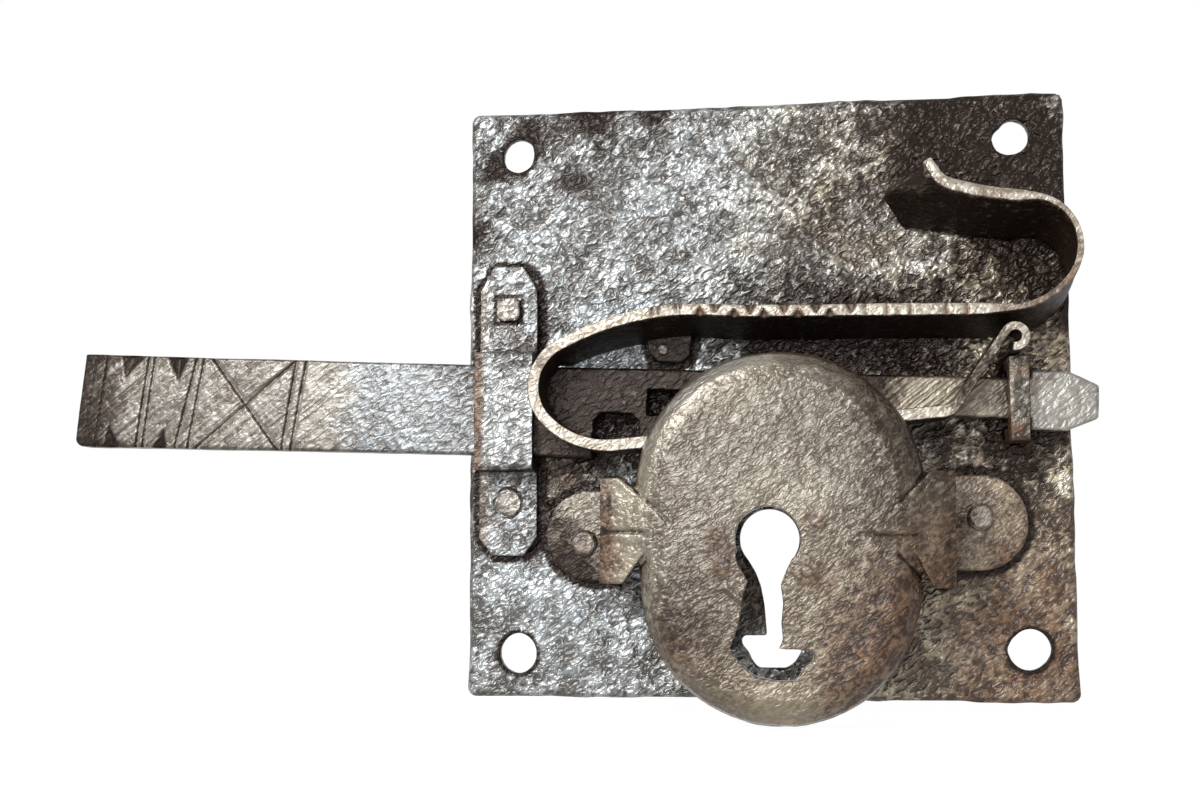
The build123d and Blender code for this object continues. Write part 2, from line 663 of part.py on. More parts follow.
with BuildPart() as lock_cap:
    add(dish(0))
    add(lug_solid("left", -1))
    add(lug_solid("right", 1))
    add(dish(CAP_SHEET), mode=Mode.SUBTRACT)
    with BuildSketch(at_height(CAP_RIM)):
        cap_foot_x = KEY_X + CAP_FOOT_SHIFT
        cap_foot_top = KEY_Z - CAP_FOOT_TOP
        with Locations((KEY_X, KEY_Z)):
            Circle(KEYHOLE_R)
        with Locations((KEY_X + CAP_SLOT_SHIFT, KEY_Z)):
            Rectangle(CAP_SLOT_WIDTH, CAP_FOOT_TOP, align=(Align.CENTER, Align.MAX))
        with BuildLine():
            ThreePointArc(
                (cap_foot_x - CAP_FOOT_HALF, cap_foot_top),
                (cap_foot_x, cap_foot_top - CAP_FOOT_DEPTH),
                (cap_foot_x + CAP_FOOT_HALF, cap_foot_top),
            )
            Line((cap_foot_x + CAP_FOOT_HALF, cap_foot_top), (cap_foot_x - CAP_FOOT_HALF, cap_foot_top))
        make_face()
        for places in WARD_TENONS.values():
            with Locations(*places):
                Rectangle(WARD_TENON + 2 * SHANK_GAP, WARD_TENON + 2 * SHANK_GAP)
    extrude(amount=CAP_FRONT - CAP_RIM, mode=Mode.SUBTRACT)
    for name in ("cap_left", "cap_right"):
        add(RIVET_HOLES[name], mode=Mode.SUBTRACT)

lock_cap.part.label = "lock_cap"
export_step(lock_cap.part, "parts/lock_cap.step")

for side in LUGS:
    with BuildPart() as cap_rivet:
        add(RIVET_SHANKS["cap_" + side])
        with BuildSketch(at_height(EAR_FRONT)):
            with Locations(CAP_RIVET_AT[side]):
                Circle(CAP_RIVET_R)
        extrude(amount=CAP_RIVET_TALL)
        chamfer(cap_rivet.faces().sort_by(Axis.Y)[0].edges(), length=CAP_RIVET_TALL / 2)
    cap_rivet.part.label = "cap_rivet_" + side
    export_step(cap_rivet.part, "parts/cap_rivet_" + side + ".step")

for side, (start, end, angles) in WARD_ARCS.items():
    middle = (start + end) / 2
    outer = WARD_R + WARD_THICK / 2
    inner = WARD_R - WARD_THICK / 2
    with BuildPart() as ward:
        with BuildSketch(at_height(CAP_INNER)):
            with BuildLine():
                ThreePointArc(*[polar(KEY_X, KEY_Z, outer, angle) for angle in (start, middle, end)])
                Line(polar(KEY_X, KEY_Z, outer, end), polar(KEY_X, KEY_Z, inner, end))
                ThreePointArc(*[polar(KEY_X, KEY_Z, inner, angle) for angle in (end, middle, start)])
                Line(polar(KEY_X, KEY_Z, inner, start), polar(KEY_X, KEY_Z, outer, start))
            make_face()
        extrude(amount=-WARD_DEPTH)
        with BuildSketch(at_height(CAP_INNER)):
            with Locations(*WARD_TENONS[side]):
                Rectangle(WARD_TENON, WARD_TENON)
        extrude(amount=CAP_SHEET)
        with BuildSketch(at_height(CAP_FRONT)):
            with Locations(*WARD_TENONS[side]):
                Circle(WARD_PEEN_R)
        extrude(amount=WARD_PEEN_TALL, taper=45)
    ward.part.label = "ward_" + side
    export_step(ward.part, "parts/ward_" + side + ".step")

LEAN_TAN = tan(radians(SPRING_LEAN))
LEAN_BACK = (0, cos(radians(SPRING_LEAN)), -sin(radians(SPRING_LEAN)))
SPRING_DEPTH = SPRING_FRONT - BOLT_BACK
LOOP_MID_Z = (UPPER_PATH[4][1] + UPPER_PATH[-1][1]) / 2
FOOT_TOP_Z = UPPER_PATH[2][1] - (SPRING_FRONT - PLATE_THICK) * LEAN_TAN

with BuildPart() as lock_spring:
    with BuildSketch(at_height(SPRING_FRONT)):
        for face in strip_faces((NOSE_X, NOSE_Z), 90.0, UPPER_RUNS):
            add(face)
        for face in strip_faces(UPPER_PATH[-1][:2], UPPER_PATH[-1][2], FREE_RUNS):
            add(face)
    extrude(amount=SPRING_DEPTH / cos(radians(SPRING_LEAN)), dir=LEAN_BACK)
    with BuildSketch(Plane.XY.offset(LOOP_MID_Z)):
        with BuildLine():
            Polyline(
                (LIP_START_X, -SPRING_FRONT),
                (FREE_TIP_X, -FREE_TIP_HEIGHT),
                (FREE_BACK_X, -BOLT_BACK),
                (FREE_BACK_X, 0),
                (0, 0),
                (0, -SPRING_FRONT),
                close=True,
            )
        make_face()
    extrude(amount=PLATE_SIDE / 2 - LOOP_MID_Z, mode=Mode.SUBTRACT)
    split(bisect_by=Plane.XY.offset(NOSE_Z), keep=Keep.TOP)
    with BuildSketch(at_height(SPRING_FRONT)):
        for face in strip_faces(UPPER_PATH[-1][:2], UPPER_PATH[-1][2], LIP_RUNS):
            add(face)
    extrude(amount=(SPRING_FRONT - LIP_BACK) / cos(radians(SPRING_LEAN)), dir=LEAN_BACK)
    with BuildSketch(at_height(PLATE_THICK)) as foot:
        with Locations((FOOT_LEFT, FOOT_LOW_Z)):
            Rectangle(FOOT_WIDTH, FOOT_TOP_Z - FOOT_LOW_Z, align=(Align.MIN, Align.MIN))
        fillet(foot.vertices().group_by(Axis.Z)[0], radius=FOOT_CORNER)
    extrude(amount=FOOT_THICK)
    add(RIVET_HOLES["spring"], mode=Mode.SUBTRACT)
    with BuildSketch(at_height(COVER_UNDER)):
        for face in strip_faces((NOSE_X, NOSE_Z), -90.0, LOWER_RUNS + RISER_RUNS):
            add(face)
    extrude(amount=SPRING_FRONT - COVER_UNDER)
    with BuildSketch(on_bolt(0)):
        with Locations((FOOT_LEFT, BOLT_LOW)):
            Rectangle(
                FOOT_LEFT - NOSE_X + SPRING_THICK,
                BOLT_HEIGHT + SIDE_GAP,
                align=(Align.MAX, Align.MIN),
            )
    extrude(amount=COVER_UNDER, mode=Mode.SUBTRACT)
    with BuildSketch(at_height(COVER_UNDER)):
        with Locations((TONGUE_X, leg_z(TONGUE_X))):
            Rectangle(
                TONGUE_WIDTH, TONGUE_TOP_Z - leg_z(TONGUE_X), align=(Align.CENTER, Align.MIN)
            )
    extrude(amount=TONGUE_ROOT)
    with BuildSketch(at_height(COVER_UNDER + TONGUE_ROOT)):
        with Locations((TONGUE_X, TONGUE_MID_Z)):
            Rectangle(TONGUE_WIDTH, TONGUE_THICK)
    extrude(amount=-(COVER_UNDER + TONGUE_ROOT - BOLT_BACK - COMB_GAP))

lock_spring.part.label = "lock_spring"
export_step(lock_spring.part, "parts/lock_spring.step")

with BuildPart() as spring_rivet:
    add(RIVET_SHANKS["spring"])
    with BuildSketch(at_height(FOOT_FRONT)):
        with Locations((SPRING_RIVET_X, SPRING_RIVET_Z)):
            Circle(SPRING_RIVET_R)
    extrude(amount=SPRING_RIVET_TALL)
    chamfer(spring_rivet.faces().sort_by(Axis.Y)[0].edges(), length=SPRING_RIVET_TALL / 3)

spring_rivet.part.label = "spring_rivet"
export_step(spring_rivet.part, "parts/spring_rivet.step")
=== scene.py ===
# %% [markdown]
# # A hand-forged plate lock
# This lesson dresses the finished lock: a square iron plate, a long bolt with a chiselled head, a leaf spring
# bent from one strip, and a dished cap over the key. The measured solids come in as a fixed frame. Each piece
# is then worked over as a smith would leave it, with hammer marks, file marks, chisel cuts, pits and rust.

# %% Load the measured lock
import math

import bmesh
import bpy
import numpy as np
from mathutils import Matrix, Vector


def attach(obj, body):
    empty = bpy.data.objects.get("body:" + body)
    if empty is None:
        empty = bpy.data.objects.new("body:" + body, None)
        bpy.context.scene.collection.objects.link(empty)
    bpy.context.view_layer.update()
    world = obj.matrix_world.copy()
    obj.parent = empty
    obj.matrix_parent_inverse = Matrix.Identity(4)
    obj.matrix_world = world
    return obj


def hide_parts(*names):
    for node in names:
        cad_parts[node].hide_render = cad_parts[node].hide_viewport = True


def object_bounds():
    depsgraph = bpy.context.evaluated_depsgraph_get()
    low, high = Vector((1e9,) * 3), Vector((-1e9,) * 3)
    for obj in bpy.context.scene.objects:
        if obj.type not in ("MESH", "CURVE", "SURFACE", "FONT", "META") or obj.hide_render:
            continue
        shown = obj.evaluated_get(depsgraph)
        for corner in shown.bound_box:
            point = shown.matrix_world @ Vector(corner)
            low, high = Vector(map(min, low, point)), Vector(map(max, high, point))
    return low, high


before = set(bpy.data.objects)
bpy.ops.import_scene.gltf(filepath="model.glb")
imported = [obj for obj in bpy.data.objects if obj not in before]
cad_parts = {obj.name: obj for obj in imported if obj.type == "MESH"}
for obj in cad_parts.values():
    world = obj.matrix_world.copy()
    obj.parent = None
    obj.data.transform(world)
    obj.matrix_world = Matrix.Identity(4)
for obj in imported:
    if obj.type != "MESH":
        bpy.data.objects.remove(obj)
cad_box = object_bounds()
MM = 0.001
print("the lock's box in metres:", cad_box)

# %% [markdown]
# ## Points as rows of numbers
# A worn iron skin has far too many points to move one by one. Blender can hand over all of them at once as a
# table of numbers, so every mark in this lesson is a sum over that table. The tables are kept in millimetres.


# %% Read and write a piece's points
def points_of(piece):
    """Every point of a piece, in millimetres."""
    table = np.empty(len(piece.data.vertices) * 3)
    piece.data.vertices.foreach_get("co", table)
    return table.reshape(-1, 3) / MM


def facing_of(piece):
    """The direction in which the skin faces at every point."""
    table = np.empty(len(piece.data.vertices) * 3)
    piece.data.vertices.foreach_get("normal", table)
    return table.reshape(-1, 3)


def put_points(piece, points):
    """Move every point of a piece to its new place."""
    piece.data.vertices.foreach_set("co", (points * MM).ravel())
    piece.data.update()


def note(piece, name, amounts):
    """Keep a number from 0 to 1 at every point, for the finish to read."""
    field = piece.data.attributes.get(name) or piece.data.attributes.new(name, "FLOAT", "POINT")
    field.data.foreach_set("value", np.clip(amounts, 0, 1).astype(np.float32))


# %% [markdown]
# ## Hammer marks
# A hammered sheet is a field of shallow dents in several sizes. Blender's Displace modifier with a cloud
# texture could do this, but then the finish could not know where the dents are. Here the dents are a smooth
# field of random numbers on a grid, so that the same numbers move the skin and darken its hollows.


# %% Smooth random lumps
def lumps(points, size, seed):
    """Smooth lumps of about one size in millimetres, from -1 to 1, the same on every run."""
    cell = points / size + 11.7 * seed
    low = np.floor(cell).astype(np.int64)
    part = cell - low
    part = part * part * (3 - 2 * part)
    total = np.zeros(len(points))
    for corner in range(8):
        step = np.array([corner & 1, corner >> 1 & 1, corner >> 2 & 1])
        key = (low + step) @ np.array([73856093, 19349663, 83492791])
        key = (key ^ (key >> 13)) * 1274126177
        value = ((key ^ (key >> 16)) & 0xFFFF) / 32767.5 - 1
        total += value * np.prod(np.where(step, part, 1 - part), axis=1)
    return total


def hammer(piece, blows, seed, where=1.0):
    """Dent a piece along its own facing. Each blow is a size and a depth. Notes how low each point lies."""
    points = points_of(piece)
    push = np.zeros(len(points))
    for turn, (size, depth) in enumerate(blows):
        push += depth * lumps(points, size, seed + turn)
    most = sum(depth for size, depth in blows)
    put_points(piece, points + facing_of(piece) * ((push - most * 0.3) * where)[:, None])
    note(piece, "low", 0.5 - push / most)


# %% [markdown]
# ## An even skin
# The measured solids have long thin triangles and knife-sharp edges. The Remesh modifier in voxel mode lays
# an even net of small faces over them and rounds each edge by half a millimetre, as years of hands and oil do.
# A short pass of the Smooth modifier then takes the steps out of slanting faces.


# %% Copy a solid and give it an even skin
def add_piece(name, mesh):
    """A new piece in the scene."""
    piece = bpy.data.objects.new(name, mesh)
    bpy.context.scene.collection.objects.link(piece)
    return piece


def settle(piece):
    """Turn a piece's modifiers into plain faces."""
    shaped = piece.evaluated_get(bpy.context.evaluated_depsgraph_get())
    mesh = bpy.data.meshes.new_from_object(shaped)
    piece.modifiers.clear()
    piece.data = mesh
    mesh.shade_smooth()


def copy_solid(node, name):
    """A copy of a measured solid, with its split corners joined again."""
    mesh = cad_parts[node].data.copy()
    mesh.materials.clear()
    work = bmesh.new()
    work.from_mesh(mesh)
    bmesh.ops.remove_doubles(work, verts=work.verts, dist=0.001 * MM)
    work.to_mesh(mesh)
    work.free()
    return add_piece(name, mesh)


def even_skin(piece, net_size, smooth_passes=2):
    """Lay an even net over a piece, in millimetres, and smooth it a little."""
    net = piece.modifiers.new("net", "REMESH")
    net.mode = "VOXEL"
    net.voxel_size = net_size * MM
    soft = piece.modifiers.new("soft", "SMOOTH")
    soft.factor = 0.5
    soft.iterations = smooth_passes
    settle(piece)
    print(piece.name, "has", len(piece.data.polygons), "faces")


# %% [markdown]
# ## Cuts and outlines
# Openings are cut with the Boolean modifier, while the shapes are still simple. A prism of any outline is
# enough for that: a flat polygon on the plate, pulled forward.


# %% Prisms, joins and cuts
def prism(name, outline, low, high):
    """A flat outline of X and Z, pulled from one height in front of the plate's back to another."""
    work = bmesh.new()
    ring = [work.verts.new((x * MM, -low * MM, z * MM)) for x, z in outline]
    face = work.faces.new(ring)
    pulled = bmesh.ops.extrude_face_region(work, geom=[face])
    moved = [part for part in pulled["geom"] if isinstance(part, bmesh.types.BMVert)]
    bmesh.ops.translate(work, verts=moved, vec=(0, (low - high) * MM, 0))
    bmesh.ops.recalc_face_normals(work, faces=work.faces)
    mesh = bpy.data.meshes.new(name)
    work.to_mesh(mesh)
    work.free()
    return add_piece(name, mesh)


def combine(piece, tool, action):
    """Join a tool's shape to a piece, or cut it away, and put the tool away."""
    step = piece.modifiers.new("step", "BOOLEAN")
    step.operation = action
    step.solver = "EXACT"
    step.object = tool
    settle(piece)
    bpy.data.objects.remove(tool)


def circle(x, z, radius, start=0, end=360, count=36):
    """Points on a round, from one angle to another."""
    turns = np.radians(np.linspace(start, end, count, endpoint=end - start < 360))
    return [(x + radius * math.cos(turn), z + radius * math.sin(turn)) for turn in turns]


# %% [markdown]
# ## Patches of rust, grease, wear and painted light
# Old iron isn't one colour. Damp corners go brown, hollows fill with black grease, and what hands or sliding
# parts rub turns bright. Each piece gets soft patches, placed where the real lock shows them, and some of them are
# painted shade or painted highlights, where the real lock lies in shade or catches the light. They are noted at
# its points under plain names: one for grease and painted shade, rust, one for bright wear and painted
# highlights, warm for a browner tone, and filed where file marks show.


# %% Soft patches
def patches(points, spots, seed, ragged=0.45):
    """A sum of soft round spots with ragged borders. Each spot is x, z, radius and strength."""
    total = np.zeros(len(points))
    edge = 1 + ragged * (0.6 * lumps(points, 7.0, seed) + 0.4 * lumps(points, 2.6, seed + 5))
    for x, z, radius, strength in spots:
        gap = np.hypot(points[:, 0] - x, points[:, 2] - z) / radius
        total += strength * np.exp(-gap * gap * edge * edge)
    return total


def rise(amount, low, high):
    """A soft step from 0 to 1 between two values."""
    part = np.clip((amount - low) / (high - low), 0, 1)
    return part * part * (3 - 2 * part)


# %% [markdown]
# ## The finish of old iron
# One recipe serves every piece, with its own tones. Two sizes of cloud noise, the finer one drawn out on a
# slant, are added up to one height, which stands for the fine pits and crests of forged iron. The same height
# bends the light through a bump, lets old grease fill the pits and brightens the crests, so colour and relief
# always agree. The notes at the points then pull the metal towards grease and painted shade, rust, or bright
# wear and painted highlights. Painted pictures could carry the same marks, but noise follows the metal round
# every edge with no seams.


# %% Small helpers for nodes
class Bench:
    """Builds one finish out of nodes."""

    def __init__(self, name):
        self.skin = bpy.data.materials.new(name)
        self.skin.use_nodes = True
        self.tree = self.skin.node_tree
        self.tree.nodes.clear()
        self.place = self.tree.nodes.new("ShaderNodeTexCoord").outputs["Object"]

    def join(self, source, socket):
        """Feed a socket from another node, or set it to a plain value."""
        if isinstance(source, bpy.types.NodeSocket):
            self.tree.links.new(source, socket)
        else:
            socket.default_value = source

    def noise(self, size, detail=3.0, rough=0.6, stretch=None, turn=0.0, crinkle=0.0):
        """Noise with lumps of a size in millimetres, stretched along X before a turn about Y if asked."""
        place = self.place
        if stretch:
            turned = self.tree.nodes.new("ShaderNodeMapping")
            self.join(place, turned.inputs["Vector"])
            turned.inputs["Rotation"].default_value = (0, math.radians(turn), 0)
            thin = self.tree.nodes.new("ShaderNodeMapping")
            self.join(turned.outputs["Vector"], thin.inputs["Vector"])
            thin.inputs["Scale"].default_value = (1 / stretch, 1, 1)
            place = thin.outputs["Vector"]
        cloud = self.tree.nodes.new("ShaderNodeTexNoise")
        self.join(place, cloud.inputs["Vector"])
        cloud.inputs["Scale"].default_value = 1 / (size * MM)
        cloud.inputs["Detail"].default_value = detail
        cloud.inputs["Roughness"].default_value = rough
        cloud.inputs["Distortion"].default_value = crinkle
        return cloud.outputs["Fac"]

    def noted(self, name):
        """The amount noted at the points under a name."""
        read = self.tree.nodes.new("ShaderNodeAttribute")
        read.attribute_name = name
        return read.outputs["Fac"]

    def sums(self, action, first, second):
        """One sum of two values."""
        step = self.tree.nodes.new("ShaderNodeMath")
        step.operation = action
        self.join(first, step.inputs[0])
        self.join(second, step.inputs[1])
        return step.outputs[0]

    def spread(self, value, low, high, to_low=0.0, to_high=1.0):
        """Stretch a range of values over another, with nothing beyond its ends."""
        step = self.tree.nodes.new("ShaderNodeMapRange")
        self.join(value, step.inputs["Value"])
        for name, amount in (("From Min", low), ("From Max", high), ("To Min", to_low), ("To Max", to_high)):
            step.inputs[name].default_value = amount
        return step.outputs["Result"]

    def blend(self, amount, first, second, how="MIX"):
        """Mix two colours, or multiply them."""
        step = self.tree.nodes.new("ShaderNodeMix")
        step.data_type = "RGBA"
        step.blend_type = how
        self.join(amount, step.inputs["Factor"])
        for source, socket in ((first, step.inputs["A"]), (second, step.inputs["B"])):
            self.join(source if isinstance(source, bpy.types.NodeSocket) else (*source, 1), socket)
        return step.outputs["Result"]

    def bump(self, height, depth):
        """Turn a height into a bumpy facing, with a depth in millimetres."""
        step = self.tree.nodes.new("ShaderNodeBump")
        step.inputs["Distance"].default_value = depth * MM
        self.join(height, step.inputs["Height"])
        return step.outputs["Normal"]


# %% The recipe for old iron
# The near-black below stands for grease and for painted shade, and the pale grey for rubbed metal and for painted
# highlights.
SOOT_AND_SHADE = (0.012, 0.0060, 0.0035)
RUST = (0.155, 0.075, 0.034)
DEEP_RUST = (0.040, 0.018, 0.009)
COOL = (0.93, 1.0, 1.05)
WARM = (1.17, 0.98, 0.70)
WEAR_AND_HIGHLIGHT = (0.62, 0.60, 0.56)


def old_iron(name, dark, middle, light, rough=0.36, grain=1.0, depth=2.6, brush=None, patchy=0.03, metal=0.5):
    """Crinkled, oiled iron in three tones of grey. The grain is its lump size and brush turns its file marks."""
    bench = Bench(name)
    cloud = bench.noise(10.0 * grain, 3.0)
    lumpy = bench.noise(4.0 * grain, 1.0, 0.5, crinkle=0.6)
    fine = bench.noise(1.45 * grain, 1.0, 0.5, stretch=1.9, turn=35.0, crinkle=0.8)
    height = bench.sums("ADD", bench.sums("MULTIPLY", lumpy, 0.36), bench.sums("MULTIPLY", fine, 0.64))
    if brush is not None:
        lines = bench.noise(0.9, 1.0, 0.5, stretch=16.0, turn=brush)
        share = bench.sums("MULTIPLY", bench.noted("filed"), 0.5)
        height = bench.sums("ADD", height, bench.sums("MULTIPLY", share, bench.sums("SUBTRACT", lines, height)))
    # The notes carry real grease and wear, and also painted shade and painted highlights.
    wear_and_highlight, soot_and_shade, rust = bench.noted("wear_and_highlight"), bench.noted("soot_and_shade"), bench.noted("rust")

    # A level above or below the skin's middle decides between bright crests and dark pits.
    level = bench.sums("ADD", height, bench.sums("MULTIPLY", wear_and_highlight, 0.08))
    level = bench.sums("ADD", level, bench.spread(cloud, 0.32, 0.68, -patchy, patchy))
    level = bench.sums("SUBTRACT", level, bench.sums("MULTIPLY", soot_and_shade, 0.13))
    level = bench.sums("SUBTRACT", level, bench.spread(bench.noted("low"), 0.45, 0.95, 0.0, 0.06))
    crest = bench.spread(level, 0.41, 0.58)
    tone = bench.spread(cloud, 0.36, 0.64, middle, light)
    skin = bench.blend(tone, (0, 0, 0), (1, 1, 1))
    skin = bench.blend(crest, (1.12 * dark, 0.92 * dark, 0.78 * dark), skin)
    skin = bench.blend(bench.spread(wear_and_highlight, 0.0, 1.0, 0.0, 0.20), skin, WEAR_AND_HIGHLIGHT)
    skin = bench.blend(1.0, skin, bench.blend(bench.noted("warm"), COOL, WARM), "MULTIPLY")

    # Rust comes in spots, and the black of grease and painted shade fills the pits first.
    spots = bench.noise(3.6 * grain, 4.0, 0.64, crinkle=0.4)
    brown = bench.blend(bench.spread(height, 0.42, 0.58), DEEP_RUST, RUST)
    rusty = bench.spread(bench.sums("ADD", rust, bench.sums("MULTIPLY", spots, 0.9)), 0.64, 1.15, 0.0, 0.85)
    skin = bench.blend(rusty, skin, brown)
    soot_and_shade_fill = bench.sums("SUBTRACT", soot_and_shade, bench.sums("MULTIPLY", height, 1.3))
    soot_and_shade_share = bench.spread(soot_and_shade_fill, -0.40, 0.27, 0.0, 0.96)
    skin = bench.blend(soot_and_shade_share, skin, SOOT_AND_SHADE)

    # An oil film over the iron gives the wet glints on the crests.
    shader = bench.tree.nodes.new("ShaderNodeBsdfPrincipled")
    bench.join(skin, shader.inputs["Base Color"])
    bench.join(bench.spread(rusty, 0.0, 1.0, rough, 0.62), shader.inputs["Roughness"])
    bench.join(bench.spread(rusty, 0.0, 1.0, metal, 0.25), shader.inputs["Metallic"])
    facing = bench.bump(height, depth)
    bench.join(facing, shader.inputs["Normal"])
    bench.join(facing, shader.inputs["Coat Normal"])
    bench.join(bench.spread(soot_and_shade_share, 0.0, 1.0, 0.6, 0.05), shader.inputs["Coat Weight"])
    shader.inputs["Coat Roughness"].default_value = 0.24
    shader.inputs["Specular IOR Level"].default_value = 0.2
    result = bench.tree.nodes.new("ShaderNodeOutputMaterial")
    bench.join(shader.outputs[0], result.inputs["Surface"])
    return bench.skin


# Each finish: its dark, middle and light tone, its roughness, its grain and its bump's depth in millimetres.
plate_iron = old_iron("plate_iron", 0.042, 0.16, 0.34, 0.30, 0.85, 1.6, patchy=0.10)
bolt_iron = old_iron("bolt_iron", 0.060, 0.140, 0.21, 0.36, 0.8, 0.7, 38.0)
strap_iron = old_iron("strap_iron", 0.06, 0.19, 0.31, 0.30, 0.8, 1.1)
cap_iron = old_iron("cap_iron", 0.062, 0.100, 0.16, 0.36, 0.60, 0.55, patchy=0.05)
staple_iron = old_iron("staple_iron", 0.030, 0.08, 0.16, 0.38, 0.8, 1.1)
spring_steel = old_iron("spring_steel", 0.15, 0.29, 0.40, 0.38, 0.7, 0.6)
rivet_iron = old_iron("rivet_iron", 0.06, 0.16, 0.30, 0.36, 0.7, 0.9)
ward_iron = old_iron("ward_iron", 0.03, 0.09, 0.20, 0.42, 0.8, 0.6)
print("finishes:", len(bpy.data.materials))


# %% Hand a piece to its body
def hand_over(piece, body, slot, finish, *nodes):
    """Keep a piece in front of the door, give it its finish and its body, and hide the solids that it stands for."""
    points = points_of(piece)
    points[:, 1] = np.minimum(points[:, 1], 0)
    put_points(piece, points)
    piece.data.materials.clear()
    piece.data.materials.append(finish)
    for name, usual in (("low", 0.0), ("soot_and_shade", 0.0), ("rust", 0.0), ("wear_and_highlight", 0.0), ("warm", 0.5)):
        if name not in piece.data.attributes:
            note(piece, name, np.full(len(piece.data.vertices), usual))
    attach(piece, body)
    if nodes:
        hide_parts(*nodes)


# %% [markdown]
# ## The back plate
# The plate is one forged sheet, flat at the back and hammered in front, with four punched nail holes. Its
# keyhole was cut with a chisel, so the slot narrows downwards. The old hole is first filled with a slab and the
# true outline is then cut, which is easier than bending the edges of the measured one.

# %% Make the plate
KEY = (1.3, -35.5)
plate_keyhole = circle(*KEY, 7.3, -33, 217) + [
    (-3.8, -40.9), (-2.2, -43.6), (-0.9, -47.1), (-0.1, -51.5), (0.5, -59.1), (-5.8, -59.1), (-5.6, -61.3),
    (-4.1, -63.0), (-3.1, -65.2), (-1.7, -66.8), (5.1, -66.8), (7.1, -65.4), (8.6, -63.0), (9.0, -59.4),
    (5.1, -59.6), (4.9, -51.0), (5.2, -44.0),
]
plate = copy_solid("back_plate", "plate_sheet")
combine(plate, prism("plug", [(-9, -70), (11, -70), (11, -27), (-9, -27)], 0.0, 3.0), "UNION")
combine(plate, prism("keyhole", plate_keyhole, -1, 5), "DIFFERENCE")
even_skin(plate, 0.55)
front = facing_of(plate)[:, 1] < -0.3
hammer(plate, [(24, 0.38), (11, 0.28), (5.5, 0.20), (2.6, 0.11), (1.4, 0.07)], 3, np.where(front, 1.0, 0.12))

# %% Bend the punched holes out of true
# Each hole: its drilled centre, where the punched one lies, and that one's reach in eight directions.
HOLES = (
    ((-62.0, 63.0), (-62.0, 63.4), (3.8, 4.4, 4.3, 4.0, 3.9, 4.3, 4.4, 4.2)),
    ((62.0, 63.0), (61.8, 63.6), (4.4, 4.6, 4.4, 3.6, 4.4, 4.8, 4.4, 4.3)),
    ((-62.0, -63.0), (-61.6, -63.8), (4.6, 4.7, 4.9, 4.6, 4.6, 4.8, 5.1, 4.8)),
    ((62.0, -63.0), (62.9, -62.0), (5.2, 5.1, 4.9, 4.6, 5.1, 4.9, 4.9, 4.8)),
)
DRILLED = 4.4
points = points_of(plate)
burr = np.zeros(len(points))
for (x, z), (to_x, to_z), reach in HOLES:
    flat = points[:, [0, 2]] - [x, z]
    gap = np.hypot(*flat.T)
    turn = np.degrees(np.arctan2(flat[:, 1], flat[:, 0])) % 360
    wanted = np.interp(turn, np.arange(0, 361, 45), reach + reach[:1])
    pull = 1 - rise(gap, DRILLED, 13.0)
    stretch = (wanted - DRILLED)[:, None] * flat / np.maximum(gap, 0.1)[:, None]
    points[:, [0, 2]] += pull[:, None] * (stretch + [to_x - x, to_z - z])
    burr = np.maximum(burr, 1 - rise(gap, DRILLED + 0.4, DRILLED + 1.4))
points[:, 1] -= burr * (points[:, 1] < -1.5) * (0.25 + 0.25 * lumps(points, 2.2, 12))
put_points(plate, points)

# %% Wave its edges
for axis, across in ((0, 2), (2, 0)):
    rim = rise(np.abs(points[:, axis]), 70.0, 75.0)
    wave = 0.45 * (lumps(points * [across == 0, 0, across == 2], 17.0, 8) - 1)
    wave += 0.22 * lumps(points * [across == 0, 0, across == 2], 4.0, 9)
    points[:, axis] += np.sign(points[:, axis]) * rim * wave
put_points(plate, points)

# %% [markdown]
# ## The bolt
# The bolt is a plain filed bar, and its head carries chiselled lines, a cross and small triangular notches
# along both edges. A cut is drawn on the front face as a line with a width and a depth, and every point near
# it is pushed in. On a net this fine, that gives a true V groove whose two walls catch the light differently.


# %% Chisel cuts
def chisel(points, start, end, width, depth):
    """How deep a straight cut reaches at every point, for a line on the front."""
    near = np.array(start)
    along = np.array(end) - near
    flat = points[:, [0, 2]] - near
    share = np.clip(flat @ along / (along @ along), 0, 1)
    gap = np.linalg.norm(flat - share[:, None] * along, axis=1)
    return depth * np.clip(1 - 2 * gap / width, 0, 1)


def notch(points, left, right, tip, depth):
    """How deep a triangular notch reaches at every point: deepest at the edge and nothing at its tip."""
    tip = np.array(tip)
    axis = (np.array(left) + np.array(right)) / 2 - tip
    length = np.linalg.norm(axis)
    flat = points[:, [0, 2]] - tip
    share = flat @ axis / length**2
    side = np.abs(flat @ np.array([-axis[1], axis[0]])) / length
    half = np.maximum(share, 1e-6) * np.linalg.norm(np.array(left) - np.array(right)) / 2
    return depth * np.clip(share, 0, 1.15) * np.clip(1 - side / half, 0, 1)


def carve(piece, cuts, front_height, depth_in=1.0):
    """Push the front of a piece in by the deepest of its cuts, and give back how far every point went."""
    points = points_of(piece)
    deepest = np.max([cut(points) for cut in cuts], axis=0)
    on_front = rise(-points[:, 1], front_height - depth_in, front_height - depth_in / 2)
    points[:, 1] += deepest * on_front
    put_points(piece, points)
    return deepest * on_front


